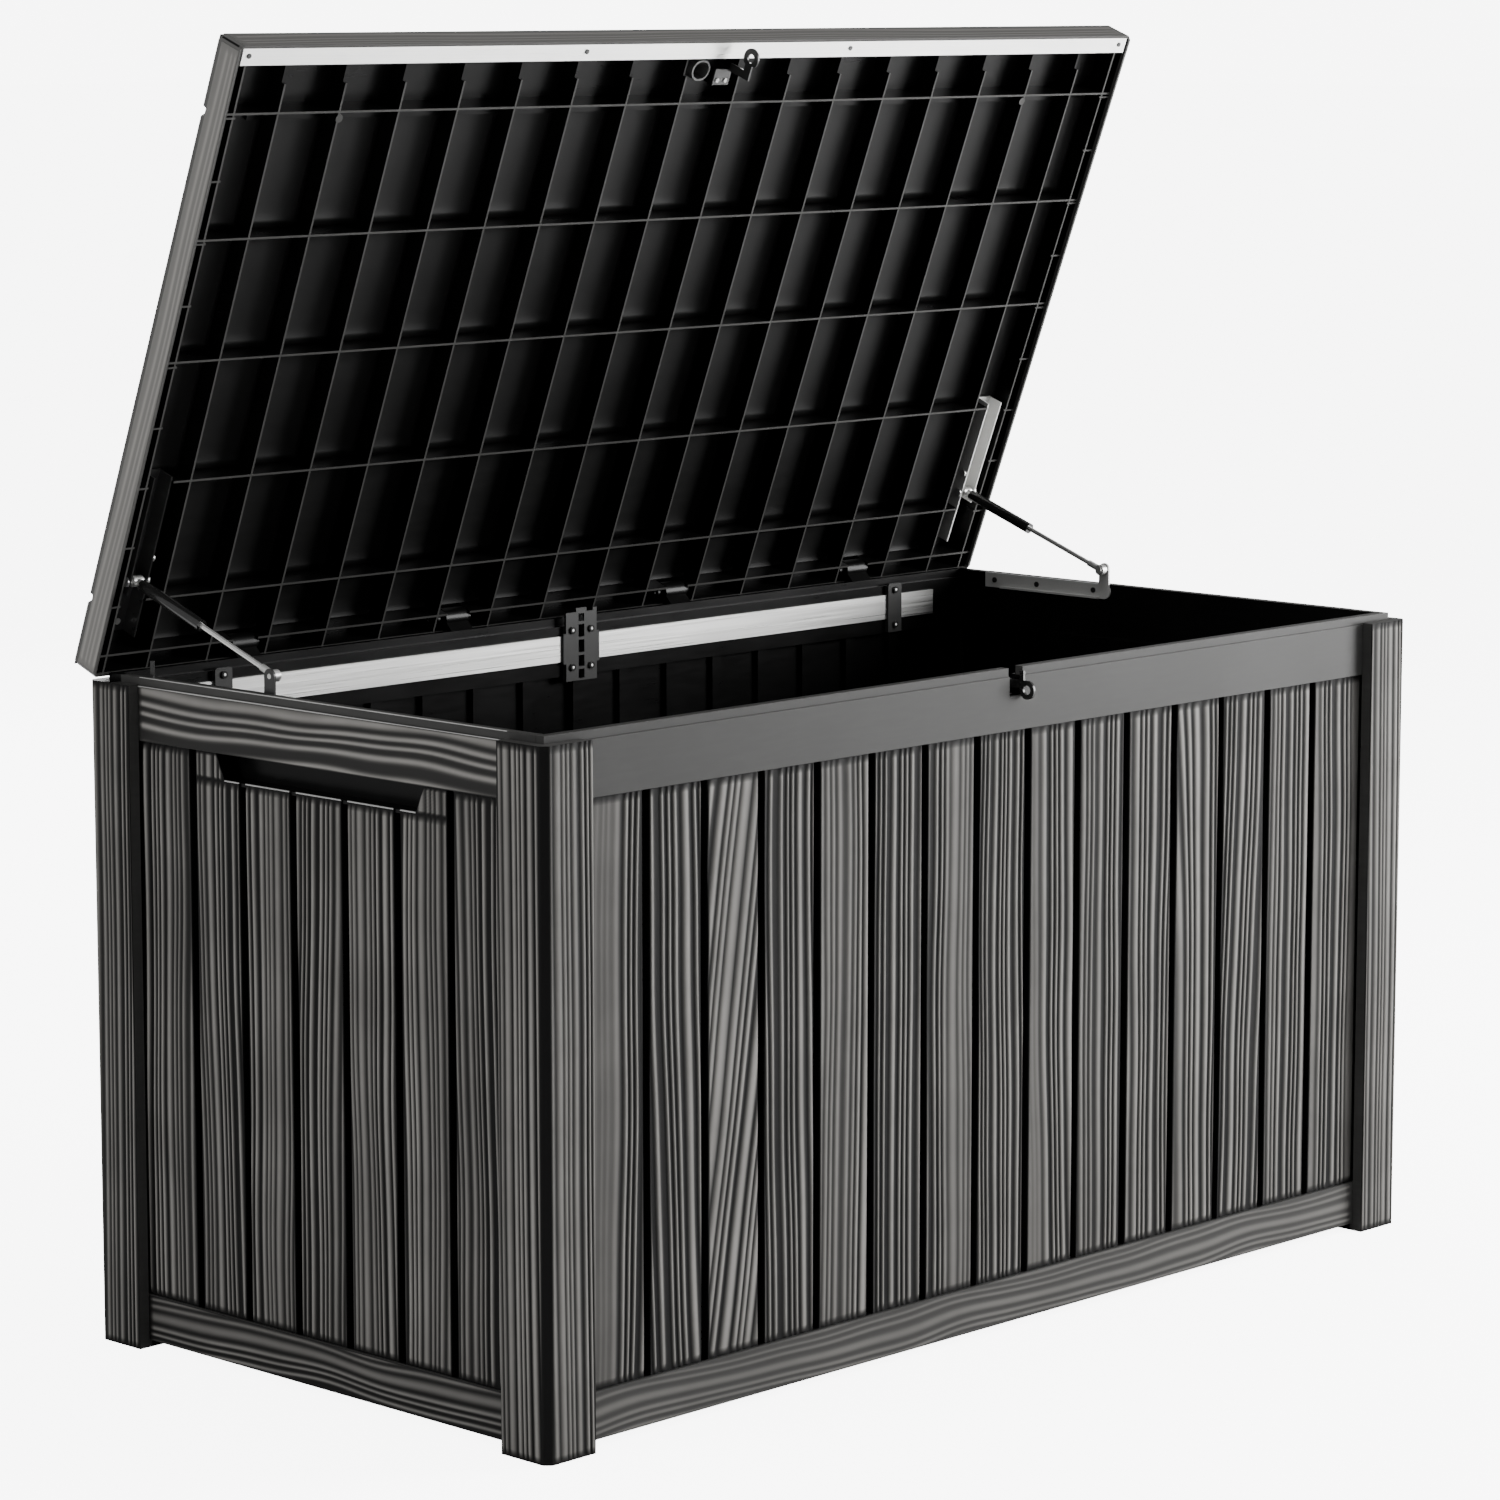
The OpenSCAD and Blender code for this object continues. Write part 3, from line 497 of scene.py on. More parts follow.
def grain_height(seed, across, along, pitch, heart=None, tilt=None, lean=None, wander=0.0035,
                 reach=0.75, sharp=None, calm=0.35):
    """Height of the grain, 0 in a valley and up to 1 on a crest, at points on a board.

    heart is how far the heart lies to the side, tilt how fast it leaves the face, lean how far the
    rings slant. sharp narrows the ridges and calm flattens some bands of them.
    """
    rng = np.random.default_rng(seed)
    heart = rng.uniform(0.12, 0.26) * rng.choice([-1, 1]) if heart is None else heart
    tilt = rng.uniform(0.01, 0.06) if tilt is None else tilt
    lean = rng.uniform(-0.015, 0.015) if lean is None else lean
    sharp = rng.uniform(0.6, 1.4) if sharp is None else sharp
    start = rng.uniform(-0.45, 0.45)
    side = across - heart + lean * along + waviness(rng, across, along, wander, reach)
    deep = tilt * (along - start) + 0.012
    ring = np.sqrt(side ** 2 + deep ** 2) / pitch
    turn = rng.uniform(0, 2 * math.pi, 3)
    ring = ring + 0.25 * np.sin(1.7 * ring + turn[0])
    power = sharp * np.exp(0.4 * np.sin(0.9 * ring + turn[1]))
    ridge = (0.5 - 0.5 * np.cos(2 * math.pi * ring)) ** power
    smooth = calm * np.clip(0.5 + 1.6 * np.sin(0.55 * ring + turn[2]), 0.0, 1.0)
    return np.clip(ridge * (1.0 - smooth) + 0.62 * smooth, 0.0, 1.0)


sample = grain_height(1, np.linspace(-0.04, 0.04, 81), np.zeros(81), 0.009)
print("grain heights from", round(float(sample.min()), 2), "to", round(float(sample.max()), 2))

# %% [markdown]
# ## Embossed boards
# A board is a fine grid laid on the face of the wall. Its points are lifted by the grain, its rim
# is extruded back to the wall and the back is closed, so it is a solid skin. The grain's height is
# kept on the points as the attribute that the material reads.

# %% Building one embossed board


def embossed(name, size, place, height, body, material, base=0.5 * MM, relief=1.9 * MM,
             step=(1.1 * MM, 9 * MM), roll=1.6 * MM):
    """A closed embossed skin. place gives base points and outward directions for board points."""
    counts = [max(2, round(size[k] / step[k])) for k in (0, 1)]
    bm = bmesh.new()
    bmesh.ops.create_grid(bm, x_segments=counts[0], y_segments=counts[1], size=0.5)
    flat = np.array([v.co for v in bm.verts])
    across, along = flat[:, 0] * size[0], flat[:, 1] * size[1]
    level = height(across, along)
    rim = np.minimum(size[0] / 2 - np.abs(across), size[1] / 2 - np.abs(along))
    edge = np.clip(rim / roll, 0.0, 1.0) ** 0.5
    ground, out = place(across, along)
    lifted = ground + out * (base + relief * level * (0.35 + 0.65 * edge))[:, None]
    # The relief attribute fades to 0 at the rim and is 0 on the sides, so edges and grooves take the
    # near-black valley colour: painted shade.
    layer = bm.verts.layers.float.new("relief")
    for v, co, h in zip(bm.verts, lifted, level * edge):
        v.co = co
        v[layer] = h
    tops = list(bm.faces)
    border = [e for e in bm.edges if e.is_boundary]
    wall_points = dict(zip(bm.verts, ground))
    sides = bmesh.ops.extrude_edge_only(bm, edges=border)["geom"]
    fresh = {v for v in sides if isinstance(v, bmesh.types.BMVert)}
    for e in border:
        e.smooth = False
        for v in e.verts:
            for other in (w.other_vert(v) for w in v.link_edges):
                if other in fresh:
                    other.co = wall_points[v]
                    other[layer] = 0.0
    for f in tops:
        f.smooth = True
    bmesh.ops.holes_fill(bm, edges=[e for e in bm.edges if e.is_boundary], sides=0)
    bmesh.ops.recalc_face_normals(bm, faces=bm.faces)
    return mesh_piece(name, bm, body, material)


def mesh_piece(name, bm, body, material):
    """Turns a bmesh into a piece that rides on a body."""
    mesh = bpy.data.meshes.new(name)
    bm.to_mesh(mesh)
    bm.free()
    mesh.materials.append(material)
    obj = bpy.data.objects.new(name, mesh)
    bpy.context.collection.objects.link(obj)
    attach(obj, body)
    return obj


def flat_place(centre, across, along, out):
    """Lays a board on a plane."""
    centre, across, along, out = (np.array(v, float) for v in (centre, across, along, out))

    def place(s, t):
        ground = centre + s[:, None] * across + t[:, None] * along
        return ground, np.broadcast_to(out, ground.shape)

    return place


def count_pieces(word):
    """How many pieces made so far have a word in their name."""
    return sum(word in o.name for o in bpy.data.objects)


print("board maker ready")

# %% [markdown]
# ## Boards of the four walls
# The boards stand between the rails with a dark gap at each groove. Outer boards run on to the
# posts. Boards under a hand grip stop at its lower edge. The front's boards are seen best, so most
# of them have a pattern of their own, listed by number from the left.

# %% Wall boards
UP = (0, 0, 1)
BOARD_LOW = FOOT_RAIL_HIGH + PLAY
BOARD_TOP = RAIL_LOW - 1.2 * MM
GRIP_BOARD_TOP = GRIP_LOW - 0.5 * MM
SIDE_GRAIN_PITCH = 0.0095


def board_spans(count, pitch, reach):
    """(from, to) of each board between the grooves, the outer two running to reach."""
    edges = [-reach] + [(i - count / 2) * pitch for i in range(1, count)] + [reach]
    gap = GROOVE / 2 + 0.6 * MM
    return [(a + (gap if i else 0), b - (gap if i < count - 1 else 0))
            for i, (a, b) in enumerate(zip(edges, edges[1:]))]


def wall_board(name, wall, span, low, top, seed, pitch=0.0112, **grain):
    """One embossed board on a wall. wall is (centre, across, out)."""
    centre, across, out = (Vector(v) for v in wall)
    middle = centre + across * (span[0] + span[1]) / 2 + Vector((0, 0, (low + top) / 2))
    shift = (BOARD_LOW + BOARD_TOP - low - top) / 2

    def height(s, t):
        return grain_height(seed, s, t - shift, pitch, **grain)

    return embossed(name, (span[1] - span[0], top - low), flat_place(middle, across, UP, out),
                    height, "box", grain_front_shaded)


FRONT = ((0, -HALF_D + SLAT_INSET, 0), (1, 0, 0), (0, -1, 0))
REAR = ((0, HALF_D - SLAT_INSET, 0), (-1, 0, 0), (0, 1, 0))
LEFT = ((-HALF_W + SLAT_INSET, 0, 0), (0, -1, 0), (-1, 0, 0))
RIGHT = ((HALF_W - SLAT_INSET, 0, 0), (0, 1, 0), (1, 0, 0))
FRONT_GRAIN = {
    0: dict(sharp=1.3, calm=0.9, lean=-0.02), 1: dict(sharp=1.5, calm=0.0, pitch=0.0125, lean=0.03),
    2: dict(lean=-0.15, heart=0.2, sharp=0.5, pitch=0.0135, calm=0.2), 3: dict(sharp=1.3, calm=0.1),
    4: dict(sharp=0.8, calm=0.5), 5: dict(sharp=1.4, calm=0.0, wander=0.0015, lean=0.0),
    6: dict(sharp=0.9, calm=0.6), 7: dict(sharp=1.2, calm=0.1, pitch=0.0095),
    8: dict(sharp=0.9, calm=0.9, lean=0.02), 10: dict(heart=0.09, tilt=0.08, sharp=0.9),
    11: dict(heart=-0.07, tilt=0.07, sharp=0.9, calm=0.6), 12: dict(sharp=1.3, calm=0.1),
    14: dict(sharp=1.1, calm=0.8),
}
for i, span in enumerate(board_spans(FRONT_COUNT, FRONT_PITCH, LONG)):
    wall_board(f"front_board_{i + 1:02d}", FRONT, span, BOARD_LOW, BOARD_TOP, 100 + i,
               **FRONT_GRAIN.get(i, {}))
for i, span in enumerate(board_spans(REAR_COUNT, REAR_PITCH, LONG)):
    wall_board(f"rear_board_{i + 1:02d}", REAR, span, BOARD_LOW, BOARD_TOP, 200 + i)
SIDES = (("left", LEFT, 300), ("right", RIGHT, 400))
side_spans = board_spans(SIDE_COUNT, SIDE_PITCH, SHORT)
for side, wall, seed in SIDES:
    for i, span in enumerate(side_spans):
        under_grip = 0 < i < SIDE_COUNT - 1
        wall_board(f"{side}_board_{i + 1}", wall, span, BOARD_LOW,
                   GRIP_BOARD_TOP if under_grip else BOARD_TOP, seed + i, pitch=SIDE_GRAIN_PITCH)
print("wall boards:", count_pieces("_board_"))

# %% Boards beside the hand grips


def beside_grip(name, wall, span, side, seed):
    """The upper end of a board, cut slanting along the grip's side. side is -1 or 1."""
    centre, across, out = (np.array(v, float) for v in wall)
    outer = span[0] if side < 0 else span[1]
    low, top = GRIP_BOARD_TOP, BOARD_TOP
    middle = (span[0] + span[1]) / 2
    width = abs(outer) - GRIP_TOP_X

    def run(s, t):
        inner = side * (GRIP_LOW_X + (GRIP_TOP_X - GRIP_LOW_X) * (t / (top - low) + 0.5))
        part = s * side / width + 0.5
        return inner + (outer - inner) * part

    def place(s, t):
        ground = centre + run(s, t)[:, None] * across
        ground[:, 2] += (low + top) / 2 + t
        return ground, np.broadcast_to(out, ground.shape)

    def height(s, t):
        up = t + (low + top) / 2 - (BOARD_LOW + BOARD_TOP) / 2
        return grain_height(seed, run(s, t) - middle, up, SIDE_GRAIN_PITCH)

    embossed(name, (width, top - low), place, height, "box", grain_front_shaded, step=(1.1 * MM, 4 * MM))


for side, wall, seed in SIDES:
    beside_grip(f"{side}_grip_board_rear", wall, side_spans[1], -1, seed + 1)
    beside_grip(f"{side}_grip_board_front", wall, side_spans[5], 1, seed + 5)
print("boards beside grips:", count_pieces("_grip_board_"))

# %% [markdown]
# ## Rails
# The rails lie along the walls, so their grain lies down too, longer drawn and softer than on the
# boards. The front's top rail is nearly smooth and keeps the plain moulded finish of the wall.

# %% Rail boards


def rail_board(name, wall, reach, heights, seed, relief, pitch=0.0105, material=grain_soft_shaded):
    """Grain along a rail. The rail's own length is the grain's length."""
    centre, across, out = (Vector(v) for v in wall)
    low, high = heights
    face = centre + out * (SLAT_INSET - RAIL_INSET) + Vector((0, 0, (low + high) / 2))

    def height(s, t):
        return grain_height(seed, s, t, pitch, wander=0.006, heart=0.16, reach=0.5)

    return embossed(name, (high - low - 2 * PLAY, 2 * reach), flat_place(face, UP, across, out),
                    height, "box", material, base=0.3 * MM, relief=relief)


FOOT, TOP = (FOOT_RAIL_LOW, FOOT_RAIL_HIGH), (RAIL_LOW, RAIL_HIGH)
rail_board("front_foot_rail", FRONT, LONG, FOOT, 501, 0.45 * MM, material=grain_calm_shaded)
rail_board("rear_foot_rail", REAR, LONG, FOOT, 502, 0.7 * MM)
rail_board("rear_top_rail", REAR, LONG, TOP, 503, 0.9 * MM)
rail_board("left_foot_rail", LEFT, SHORT, FOOT, 504, 0.8 * MM)
rail_board("right_foot_rail", RIGHT, SHORT, FOOT, 505, 0.8 * MM)
rail_board("left_top_rail", LEFT, SHORT, TOP, 506, 1.6 * MM, 0.014, grain_rail_shaded)
rail_board("right_top_rail", RIGHT, SHORT, TOP, 507, 1.6 * MM, 0.014, grain_rail_shaded)
print("rail boards:", count_pieces("_rail"))

# %% [markdown]
# ## Corner posts
# A post wraps the corner: two grained faces with a smooth bevel between them. The same board is
# bent round the corner, so the ridges end on the post's top as small scallops.

# %% Post skins
FACE_RUN = POST_FACE - POST_BEVEL
BEVEL_RUN = POST_BEVEL * math.sqrt(2)
EASE = 0.8 * MM  # how far before the bevel the skin starts to turn
SMOOTH_HALF, FADE = 5.2 * MM, 2.0 * MM  # the bevel's smooth strip and the fade beside it


def post_place(corner, inward):
    """Bends a board round a post. Board points run from one face over the bevel to the other."""
    face, bevel = FACE_RUN, BEVEL_RUN
    corner, inward = np.array(corner, float), np.array(inward, float)

    def place(s, t):
        run = s + face + bevel / 2
        first = np.clip(run, 0, face)
        slant = np.clip(run - face, 0, bevel) / bevel
        last = np.clip(run - face - bevel, 0, face)
        in_x = POST_FACE - first - POST_BEVEL * slant
        in_y = POST_BEVEL * slant + last
        ground = np.empty((len(s), 3))
        ground[:, 0] = corner[0] + inward[0] * in_x
        ground[:, 1] = corner[1] + inward[1] * in_y
        ground[:, 2] = POST_TOP / 2 + t
        turn = math.pi / 2 * np.clip((run - face + EASE) / (bevel + 2 * EASE), 0, 1)
        out = np.stack([-inward[0] * np.sin(turn), -inward[1] * np.cos(turn), 0 * turn], axis=1)
        return ground, out

    return place


def post_height(seed):
    """Grain on the two faces, none on the bevel.

    With no relief the bevel takes the near-black valley colour: painted shade.
    """

    def height(s, t):
        level = grain_height(seed, s, t, 0.0088, heart=0.4, tilt=0.02, wander=0.0022, reach=1.1)
        off_bevel = np.clip((np.abs(s) - SMOOTH_HALF) / FADE, 0, 1)
        return level * off_bevel

    return height


POST_GIRTH = 2 * FACE_RUN + BEVEL_RUN
for i, (sx, sy) in enumerate(((-1, -1), (1, -1), (-1, 1), (1, 1))):
    name = f"post_skin_{'front' if sy < 0 else 'rear'}_{'left' if sx < 0 else 'right'}"
    embossed(name, (POST_GIRTH, POST_TOP), post_place((sx * HALF_W, sy * HALF_D), (-sx, -sy)),
             post_height(600 + i), "box", grain_front_shaded, base=0.2 * MM, relief=1.7 * MM,
             roll=0.8 * MM)
print("post skins:", count_pieces("post_skin"), "girth", round(POST_GIRTH, 4))

# %% [markdown]
# ## Painted highlights on moulding edges
# A slim light grey bead runs along the top edge of each side rail, along the rim, and under each
# hand grip. Its light grey paints the thin bright line that a rounded edge catches: a painted
# highlight.

# %% Beads


def bead(name, start, end, radius):
    """A slim rounded bead between two points."""
    start, end = Vector(start), Vector(end)
    bm = bmesh.new()
    bmesh.ops.create_cone(bm, cap_ends=True, segments=12, radius1=radius, radius2=radius,
                          depth=(end - start).length)
    caps = [e for e in bm.edges if abs(e.verts[0].co.z - e.verts[1].co.z) < 1e-9]
    bmesh.ops.bevel(bm, geom=caps, offset=radius * 0.45, offset_type="OFFSET", segments=2,
                    profile=0.6, affect="EDGES", material=-1)
    for f in bm.faces:
        f.smooth = True
    turn = (end - start).to_track_quat("Z", "Y").to_matrix().to_4x4()
    bmesh.ops.transform(bm, matrix=Matrix.Translation((start + end) / 2) @ turn, verts=bm.verts)
    return mesh_piece(name, bm, "box", bead_painted_highlight)


BEAD, THIN_BEAD = 0.9 * MM, 0.7 * MM
for side, sign in (("left", -1), ("right", 1)):
    x, z = sign * (HALF_W - RAIL_INSET), RAIL_HIGH - 0.6 * MM
    bead(f"{side}_rail_bead", (x, -SHORT, z), (x, SHORT, z), BEAD)
    x = sign * (HALF_W - RIM_INSET)
    bead(f"{side}_rim_bead", (x, -SHORT, RIM_TOP), (x, SHORT, RIM_TOP), THIN_BEAD)
    x = sign * (HALF_W - SLAT_INSET + 0.7 * MM)
    for i, (a, b) in enumerate(side_spans[1:6]):
        a, b = max(a, -GRIP_LOW_X), min(b, GRIP_LOW_X)
        bead(f"{side}_grip_bead_{i + 1}", (x, a, GRIP_LOW), (x, b, GRIP_LOW), BEAD)
print("beads:", count_pieces("_bead"))

# %% [markdown]
# ## Outside of the lid
# Closed, the lid is the box's table top: seventeen boards between two cross boards, and a skirt
# with a fainter grain. The boards stay between the lid's own grooves.

# %% Lid boards
CROSS_FRONT, CROSS_REAR = 680 * MM, 86 * MM
LID_EDGE = 1 * MM  # how far the boards stay inside the lid's outline
LID_GROOVE = 7 * MM


def lid_board(name, middle, ways, size, seed, relief, material=grain_lid_shaded):
    """An embossed skin on the open lid. ways are the board's across, along and out."""

    def height(s, t):
        return grain_height(seed, s, t, 0.0095)

    place = flat_place(on_lid(*middle), *(lid_way(*way) for way in ways))
    return embossed(name, size, place, height, "lid", material, base=0.2 * MM, relief=relief)


lid_edges = [-LID_W / 2 + LID_EDGE] + LID_RIBS + [LID_W / 2 - LID_EDGE]
for i, (a, b) in enumerate(zip(lid_edges, lid_edges[1:])):
    a, b = a + (LID_GROOVE / 2 if i else 0), b - (LID_GROOVE / 2 if i < len(LID_RIBS) else 0)
    lid_board(f"lid_board_{i + 1:02d}", ((a + b) / 2, (CROSS_FRONT + CROSS_REAR) / 2, LID_H),
              ((1, 0, 0), (0, 1, 0), (0, 0, 1)),
              (b - a, CROSS_FRONT - CROSS_REAR - 2 * LID_GROOVE), 700 + i, 1.1 * MM)
for name, low, high, seed in (
        ("lid_cross_front", CROSS_FRONT + LID_GROOVE, LID_D - LID_EDGE, 730),
        ("lid_cross_rear", LID_EDGE, CROSS_REAR - LID_GROOVE, 731)):
    lid_board(name, (0, (low + high) / 2, LID_H), ((0, -1, 0), (1, 0, 0), (0, 0, 1)),
              (high - low, LID_W - 2 * LID_EDGE), seed, 1.0 * MM)
print("lid boards:", count_pieces("lid_board") + count_pieces("lid_cross"))

# %% Lid skirts
SKIRT_MARGIN, SKIRT_RELIEF = 7 * MM, 0.35 * MM
for name, sign, seed in (("lid_skirt_left", -1, 740), ("lid_skirt_right", 1, 741)):
    lid_board(name, (sign * LID_W / 2, LID_D / 2, LID_H / 2 - 2.5 * MM),
              ((0, 0, 1), (0, 1, 0), (sign, 0, 0)),
              (LID_H - SKIRT_MARGIN, LID_D - 2 * SKIRT_MARGIN), seed, SKIRT_RELIEF, grain_skirt_shaded)
lid_board("lid_skirt_front", (0, LID_D, LID_H / 2 - 0.5 * MM), ((0, 0, 1), (1, 0, 0), (0, 1, 0)),
          (LID_H - 2 * MM, LID_W - 2 * SKIRT_MARGIN), 742, SKIRT_RELIEF, grain_front_edge_shaded)
print("lid skirts:", count_pieces("lid_skirt"))

# %% [markdown]
# ## Dished cells under the lid
# Between the ribs the lid's skin isn't flat: each cell is moulded as a shallow scoop, and its gloss
# makes a soft diagonal gleam. One thin skin per cell bends towards the ribs round it. The end cells
# next to the hinge hold the channels of the struts and have none.

# %% Scoops between the ribs
CROSS_RIBS = [25 * MM, 93 * MM, 241 * MM, 391 * MM, 538.5 * MM, 688 * MM]
CELL_END = 738 * MM
RIB_GAP = 1.4 * MM
SCOOP = 0.5 * MM  # how far a scoop stays below the lid's skin, and how deep its sway is


def scoop(name, x0, x1, u0, u1):
    """One dished skin between two ribs and two cross ribs."""
    bm = bmesh.new()
    bmesh.ops.create_grid(bm, x_segments=14, y_segments=16, size=0.5)
    for v in bm.verts:
        a, b = v.co.x, v.co.y
        bowl = abs(2 * a) ** 3 * 1.8 * MM + abs(2 * b) ** 12 * 2.5 * MM
        sway = SCOOP * math.sin(2.2 * a + 4 * b)
        up = LID_H - LID_SKIN - SCOOP - bowl - (sway + SCOOP) * (1 - abs(2 * a))
        v.co = on_lid(x0 + (a + 0.5) * (x1 - x0), u0 + (b + 0.5) * (u1 - u0), up)
    for f in bm.faces:
        f.smooth = True
    bmesh.ops.solidify(bm, geom=list(bm.faces), thickness=0.4 * MM)
    bmesh.ops.recalc_face_normals(bm, faces=bm.faces)
    return mesh_piece(name, bm, "lid", black_resin)


cell_xs = [-CELL_END] + LID_RIBS + [CELL_END]
for i, (xa, xb) in enumerate(zip(cell_xs, cell_xs[1:])):
    for j, (ua, ub) in enumerate(zip(CROSS_RIBS, CROSS_RIBS[1:])):
        if i in (0, len(LID_RIBS)) and j < 2:  # the channels lie there
            continue
        scoop(f"lid_scoop_{i + 1:02d}_{j + 1}", xa + RIB_GAP, xb - RIB_GAP, ua + RIB_GAP,
              ub - RIB_GAP)
print("dished cells:", count_pieces("lid_scoop"))

# %% [markdown]
# ## Small things that catch the eye
# The screws of the stiffening bars have bright domed heads in dark washers, and beside the tongue
# the lid has a little moulded loop, painted grey as a highlight on the black lid. All are only
# millimetres across, but they stand out against black. A head is half a sphere, a washer is a
# turned profile, and the loop is a wall with round ends.

# %% Domed screw heads
HEAD_R, WASHER_R = 2.0 * MM, 4.6 * MM
OUT = Vector((0, -1, 0))  # the plates face the front
head_steel = plain_material("head_steel", MOTTLE, 0.95, 0.35, metallic=0.1)


def dome_head(name, place):
    """A flattened half sphere with a cross recess."""
    bm = bmesh.new()
    bmesh.ops.create_uvsphere(bm, u_segments=20, v_segments=12, radius=HEAD_R)
    bmesh.ops.bisect_plane(bm, geom=bm.verts[:] + bm.edges[:] + bm.faces[:], plane_co=(0, 0, 0),
                           plane_no=(0, 0, -1), clear_outer=True)
    bmesh.ops.holes_fill(bm, edges=[e for e in bm.edges if e.is_boundary], sides=0)
    for v in bm.verts:
        in_cross = min(abs(v.co.x), abs(v.co.y)) < HEAD_R * 0.16
        dip = 0.35 if in_cross and max(abs(v.co.x), abs(v.co.y)) < HEAD_R * 0.6 else 0.0
        v.co.z *= 0.5 * (1.0 - dip)
    for f in bm.faces:
        f.smooth = True
    turn = OUT.to_track_quat("Z", "Y").to_matrix().to_4x4()
    bmesh.ops.transform(bm, matrix=Matrix.Translation(place) @ turn, verts=bm.verts)
    return mesh_piece(name, bm, "box", head_steel)


def dark_washer(name, place):
    """A flat black ring with a chamfered edge."""
    bm = bmesh.new()
    profile = ((0.4, 0.0), (0.4, 0.5), (0.9, 0.5), (1.0, 0.3), (1.0, 0.0))
    loop = [bm.verts.new((r * WASHER_R, 0, h * MM)) for r, h in profile]
    edges = [bm.edges.new((a, b)) for a, b in zip(loop, loop[1:] + loop[:1])]
    bmesh.ops.spin(bm, geom=loop + edges, cent=(0, 0, 0), axis=(0, 0, 1), angle=2 * math.pi,
                   steps=28, use_duplicate=False)
    bmesh.ops.remove_doubles(bm, verts=bm.verts, dist=1e-6)
    bmesh.ops.recalc_face_normals(bm, faces=bm.faces)
    turn = Matrix.Translation(place) @ Matrix.Rotation(math.pi / 2, 4, "X")
    bmesh.ops.transform(bm, matrix=turn, verts=bm.verts)
    return mesh_piece(name, bm, "box", black_resin)


SCREW_XS = (-581 * MM, -16.2 * MM, 16.2 * MM, 581 * MM)
SCREW_ZS = (723.5 * MM, 769.8 * MM)
plate_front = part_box("splice_screws")[0].y
for i, (x, z) in enumerate((x, z) for x in SCREW_XS for z in SCREW_ZS):
    dome_head(f"screw_dome_{i + 1}", (x, plate_front, z))
    dark_washer(f"screw_ring_{i + 1}", (x, plate_front, z))
print("domed heads:", count_pieces("screw_dome"), "washers:", count_pieces("screw_ring"))

# %% Moulded loop beside the tongue


def slot_outline(xs, us, inset, steps=8):
    """Corners of a rectangle with round ends, drawn in by inset."""
    x0, x1, u0, u1 = xs[0] + inset, xs[1] - inset, us[0] + inset, us[1] - inset
    round_r, middle = (u1 - u0) / 2, (u0 + u1) / 2
    points = []
    for centre, start in ((x1 - round_r, -90), (x0 + round_r, 90)):
        for k in range(steps + 1):
            turn = math.radians(start + 180 * k / steps)
            points.append((centre + round_r * math.cos(turn), middle + round_r * math.sin(turn)))
    return points


def moulded_loop(name, xs, us, ups, wall):
    """A wall with round ends that stands down from the lid's skin.

    Its grey is a painted highlight on the black moulding.
    """
    low, high = ups
    bm = bmesh.new()
    rings = [[bm.verts.new(on_lid(x, u, up)) for x, u in slot_outline(xs, us, inset)]
             for inset, up in ((0, low), (0, high), (wall, high), (wall, low))]
    for ring, after in zip(rings, rings[1:] + rings[:1]):
        for i, v in enumerate(ring):
            j = (i + 1) % len(ring)
            bm.faces.new((v, ring[j], after[j], after[i]))
    bmesh.ops.recalc_face_normals(bm, faces=bm.faces)
    return mesh_piece(name, bm, "lid", loop_painted_highlight)


LOOP_XS, LOOP_US = (-36 * MM, -6 * MM), (716 * MM, 742 * MM)
LOOP_UPS, LOOP_WALL = (7 * MM, LID_H - 5.4 * MM), 2.4 * MM
loop = moulded_loop("moulded_loop", LOOP_XS, LOOP_US, LOOP_UPS, LOOP_WALL)
print(loop.name, "has", len(loop.data.polygons), "faces")

# %% [markdown]
# ## Studio
# Black gloss shows whatever stands round it, so the studio is nearly empty. One large light from
# the front right rakes the grain of the front, weaker ones from the left and from behind lift the
# left wall and the rear edges, and a broad one above serves the metal. Floor and sky shine brighter
# for the camera than for the object, so the surroundings are near white and the black stays black.

# %% Floor and world
FLOOR_HALF = 60.0
FLOOR_SEEN = 7.0
SKY_LIGHT, SKY_SEEN = 0.4, 7.5


def to_camera(tree):
    """1 for rays that come straight from the camera, 0 for all others."""
    return tree.nodes.new("ShaderNodeLightPath").outputs["Is Camera Ray"]


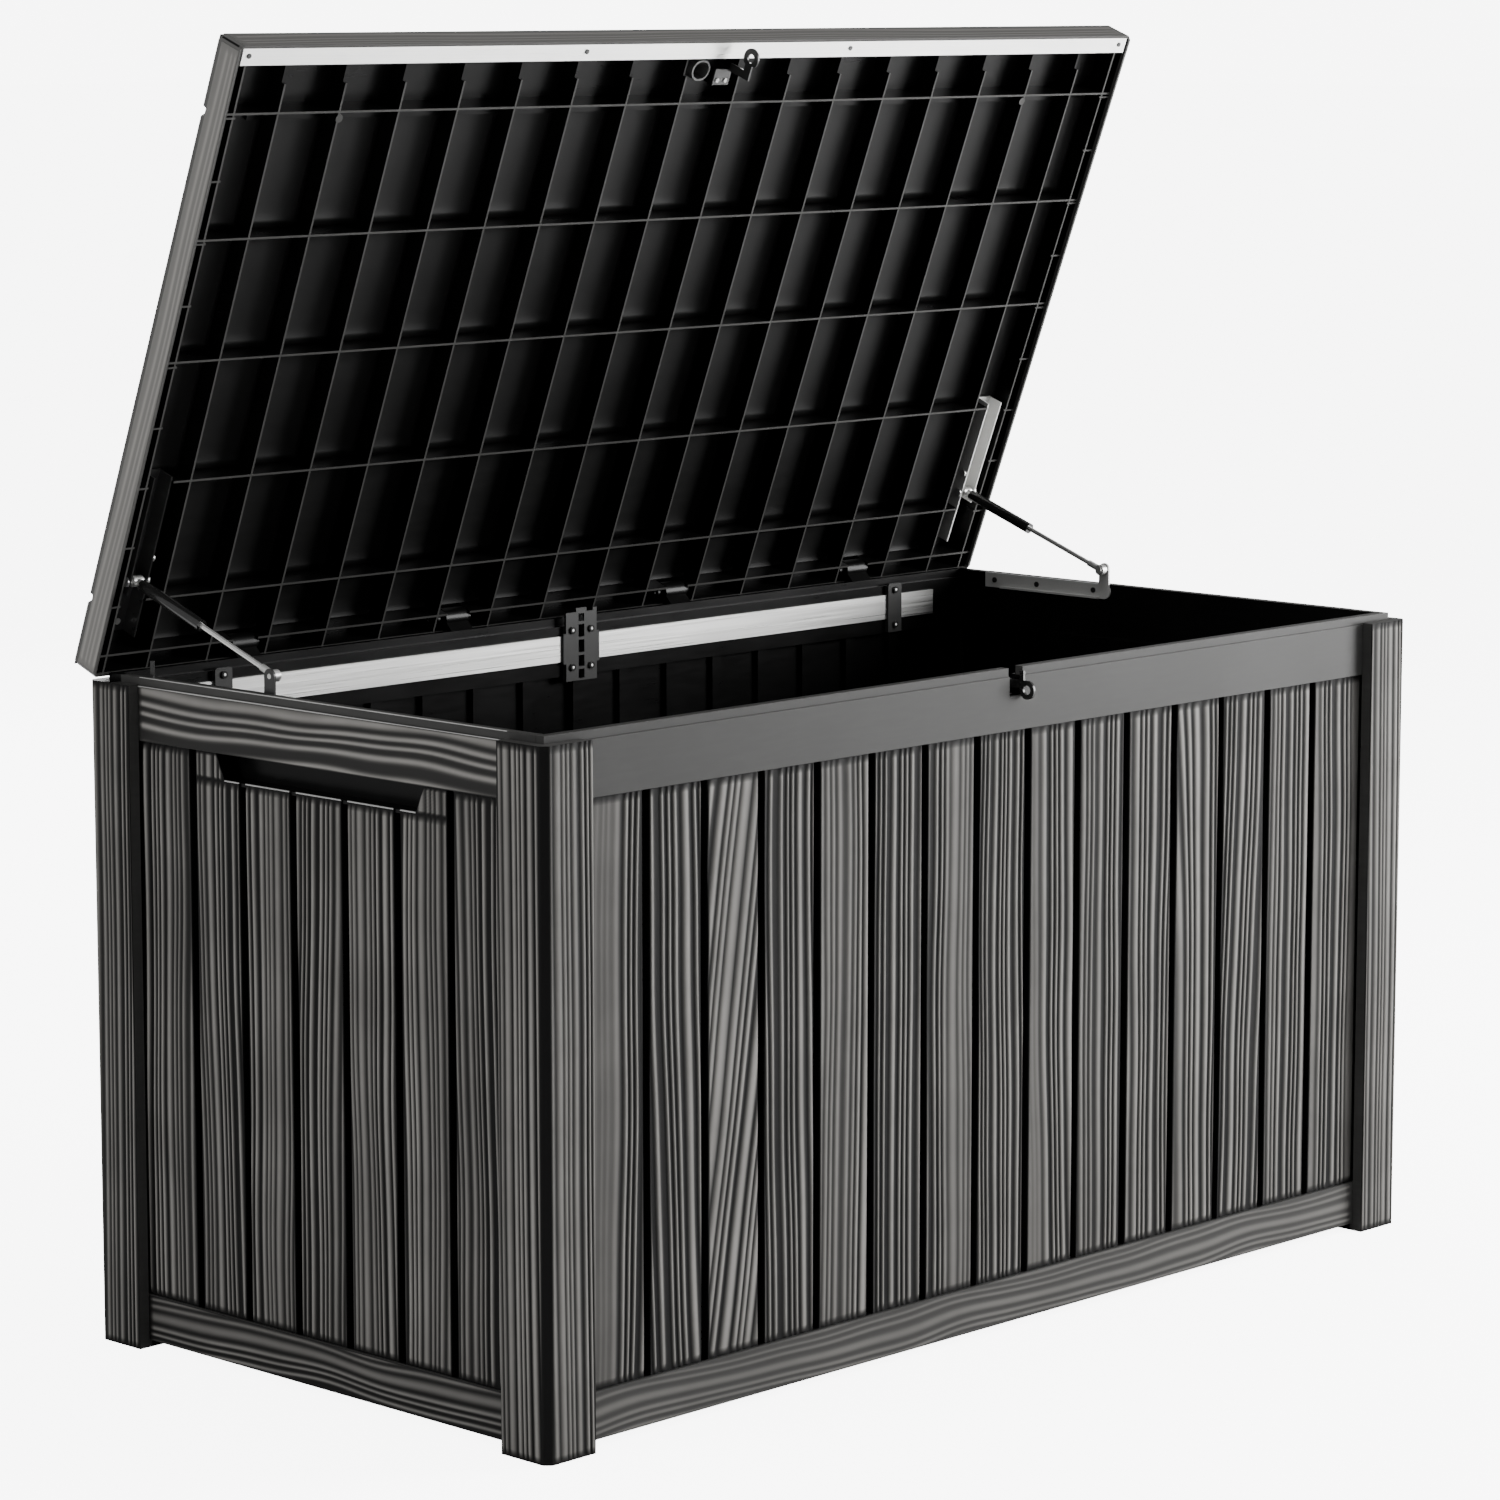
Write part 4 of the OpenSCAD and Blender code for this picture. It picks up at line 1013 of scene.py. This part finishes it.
bm = bmesh.new()
bmesh.ops.create_grid(bm, x_segments=2, y_segments=2, size=FLOOR_HALF)
floor_mesh = bpy.data.meshes.new("floor")
bm.to_mesh(floor_mesh)
bm.free()
floor = bpy.data.objects.new("floor", floor_mesh)
floor_material = bpy.data.materials.new("pale_floor")
floor_material.use_nodes = True
floor_tree = floor_material.node_tree
floor_shader = floor_tree.nodes["Principled BSDF"]
floor_shader.inputs["Base Color"].default_value = (0.9, 0.9, 0.9, 1)
floor_shader.inputs["Roughness"].default_value = 0.9
floor_shader.inputs["Specular IOR Level"].default_value = 0.0
floor_shader.inputs["Emission Color"].default_value = (1, 1, 1, 1)
floor_glow = maths(floor_tree, "MULTIPLY", to_camera(floor_tree), FLOOR_SEEN)
floor_tree.links.new(floor_glow, floor_shader.inputs["Emission Strength"])
floor_mesh.materials.append(floor_material)
bpy.context.collection.objects.link(floor)

world = bpy.data.worlds.new("studio")
bpy.context.scene.world = world
world.use_nodes = True
sky_tree = world.node_tree
sky = sky_tree.nodes["Background"]
sky.inputs["Color"].default_value = (1, 1, 1, 1)
sky_glow = ramp(sky_tree, to_camera(sky_tree), 0.0, 1.0, SKY_LIGHT, SKY_SEEN)
sky_tree.links.new(sky_glow, sky.inputs["Strength"])
print("floor and world ready")

# %% Lights


def softbox(name, place, aim, width, height, power):
    """A rectangular area light aimed at a point."""
    data = bpy.data.lights.new(name, "AREA")
    data.shape = "RECTANGLE"
    data.size, data.size_y = width, height
    data.energy = power
    obj = bpy.data.objects.new(name, data)
    obj.location = place
    obj.rotation_euler = (Vector(aim) - Vector(place)).to_track_quat("-Z", "Y").to_euler()
    bpy.context.collection.objects.link(obj)


softbox("key_right", (3.4, -2.6, 1.5), (0.2, -0.2, 0.6), 2.0, 2.6, 390)
softbox("rear", (1.6, 5.0, 2.6), (0.0, 0.2, 0.8), 2.4, 2.0, 110)
softbox("fill_left", (-5.5, 1.2, 2.2), (-0.6, 0, 0.6), 1.4, 2.0, 130)
softbox("top", (0.0, -0.6, 5.0), (0.0, 0.0, 0.4), 4.0, 3.0, 140)
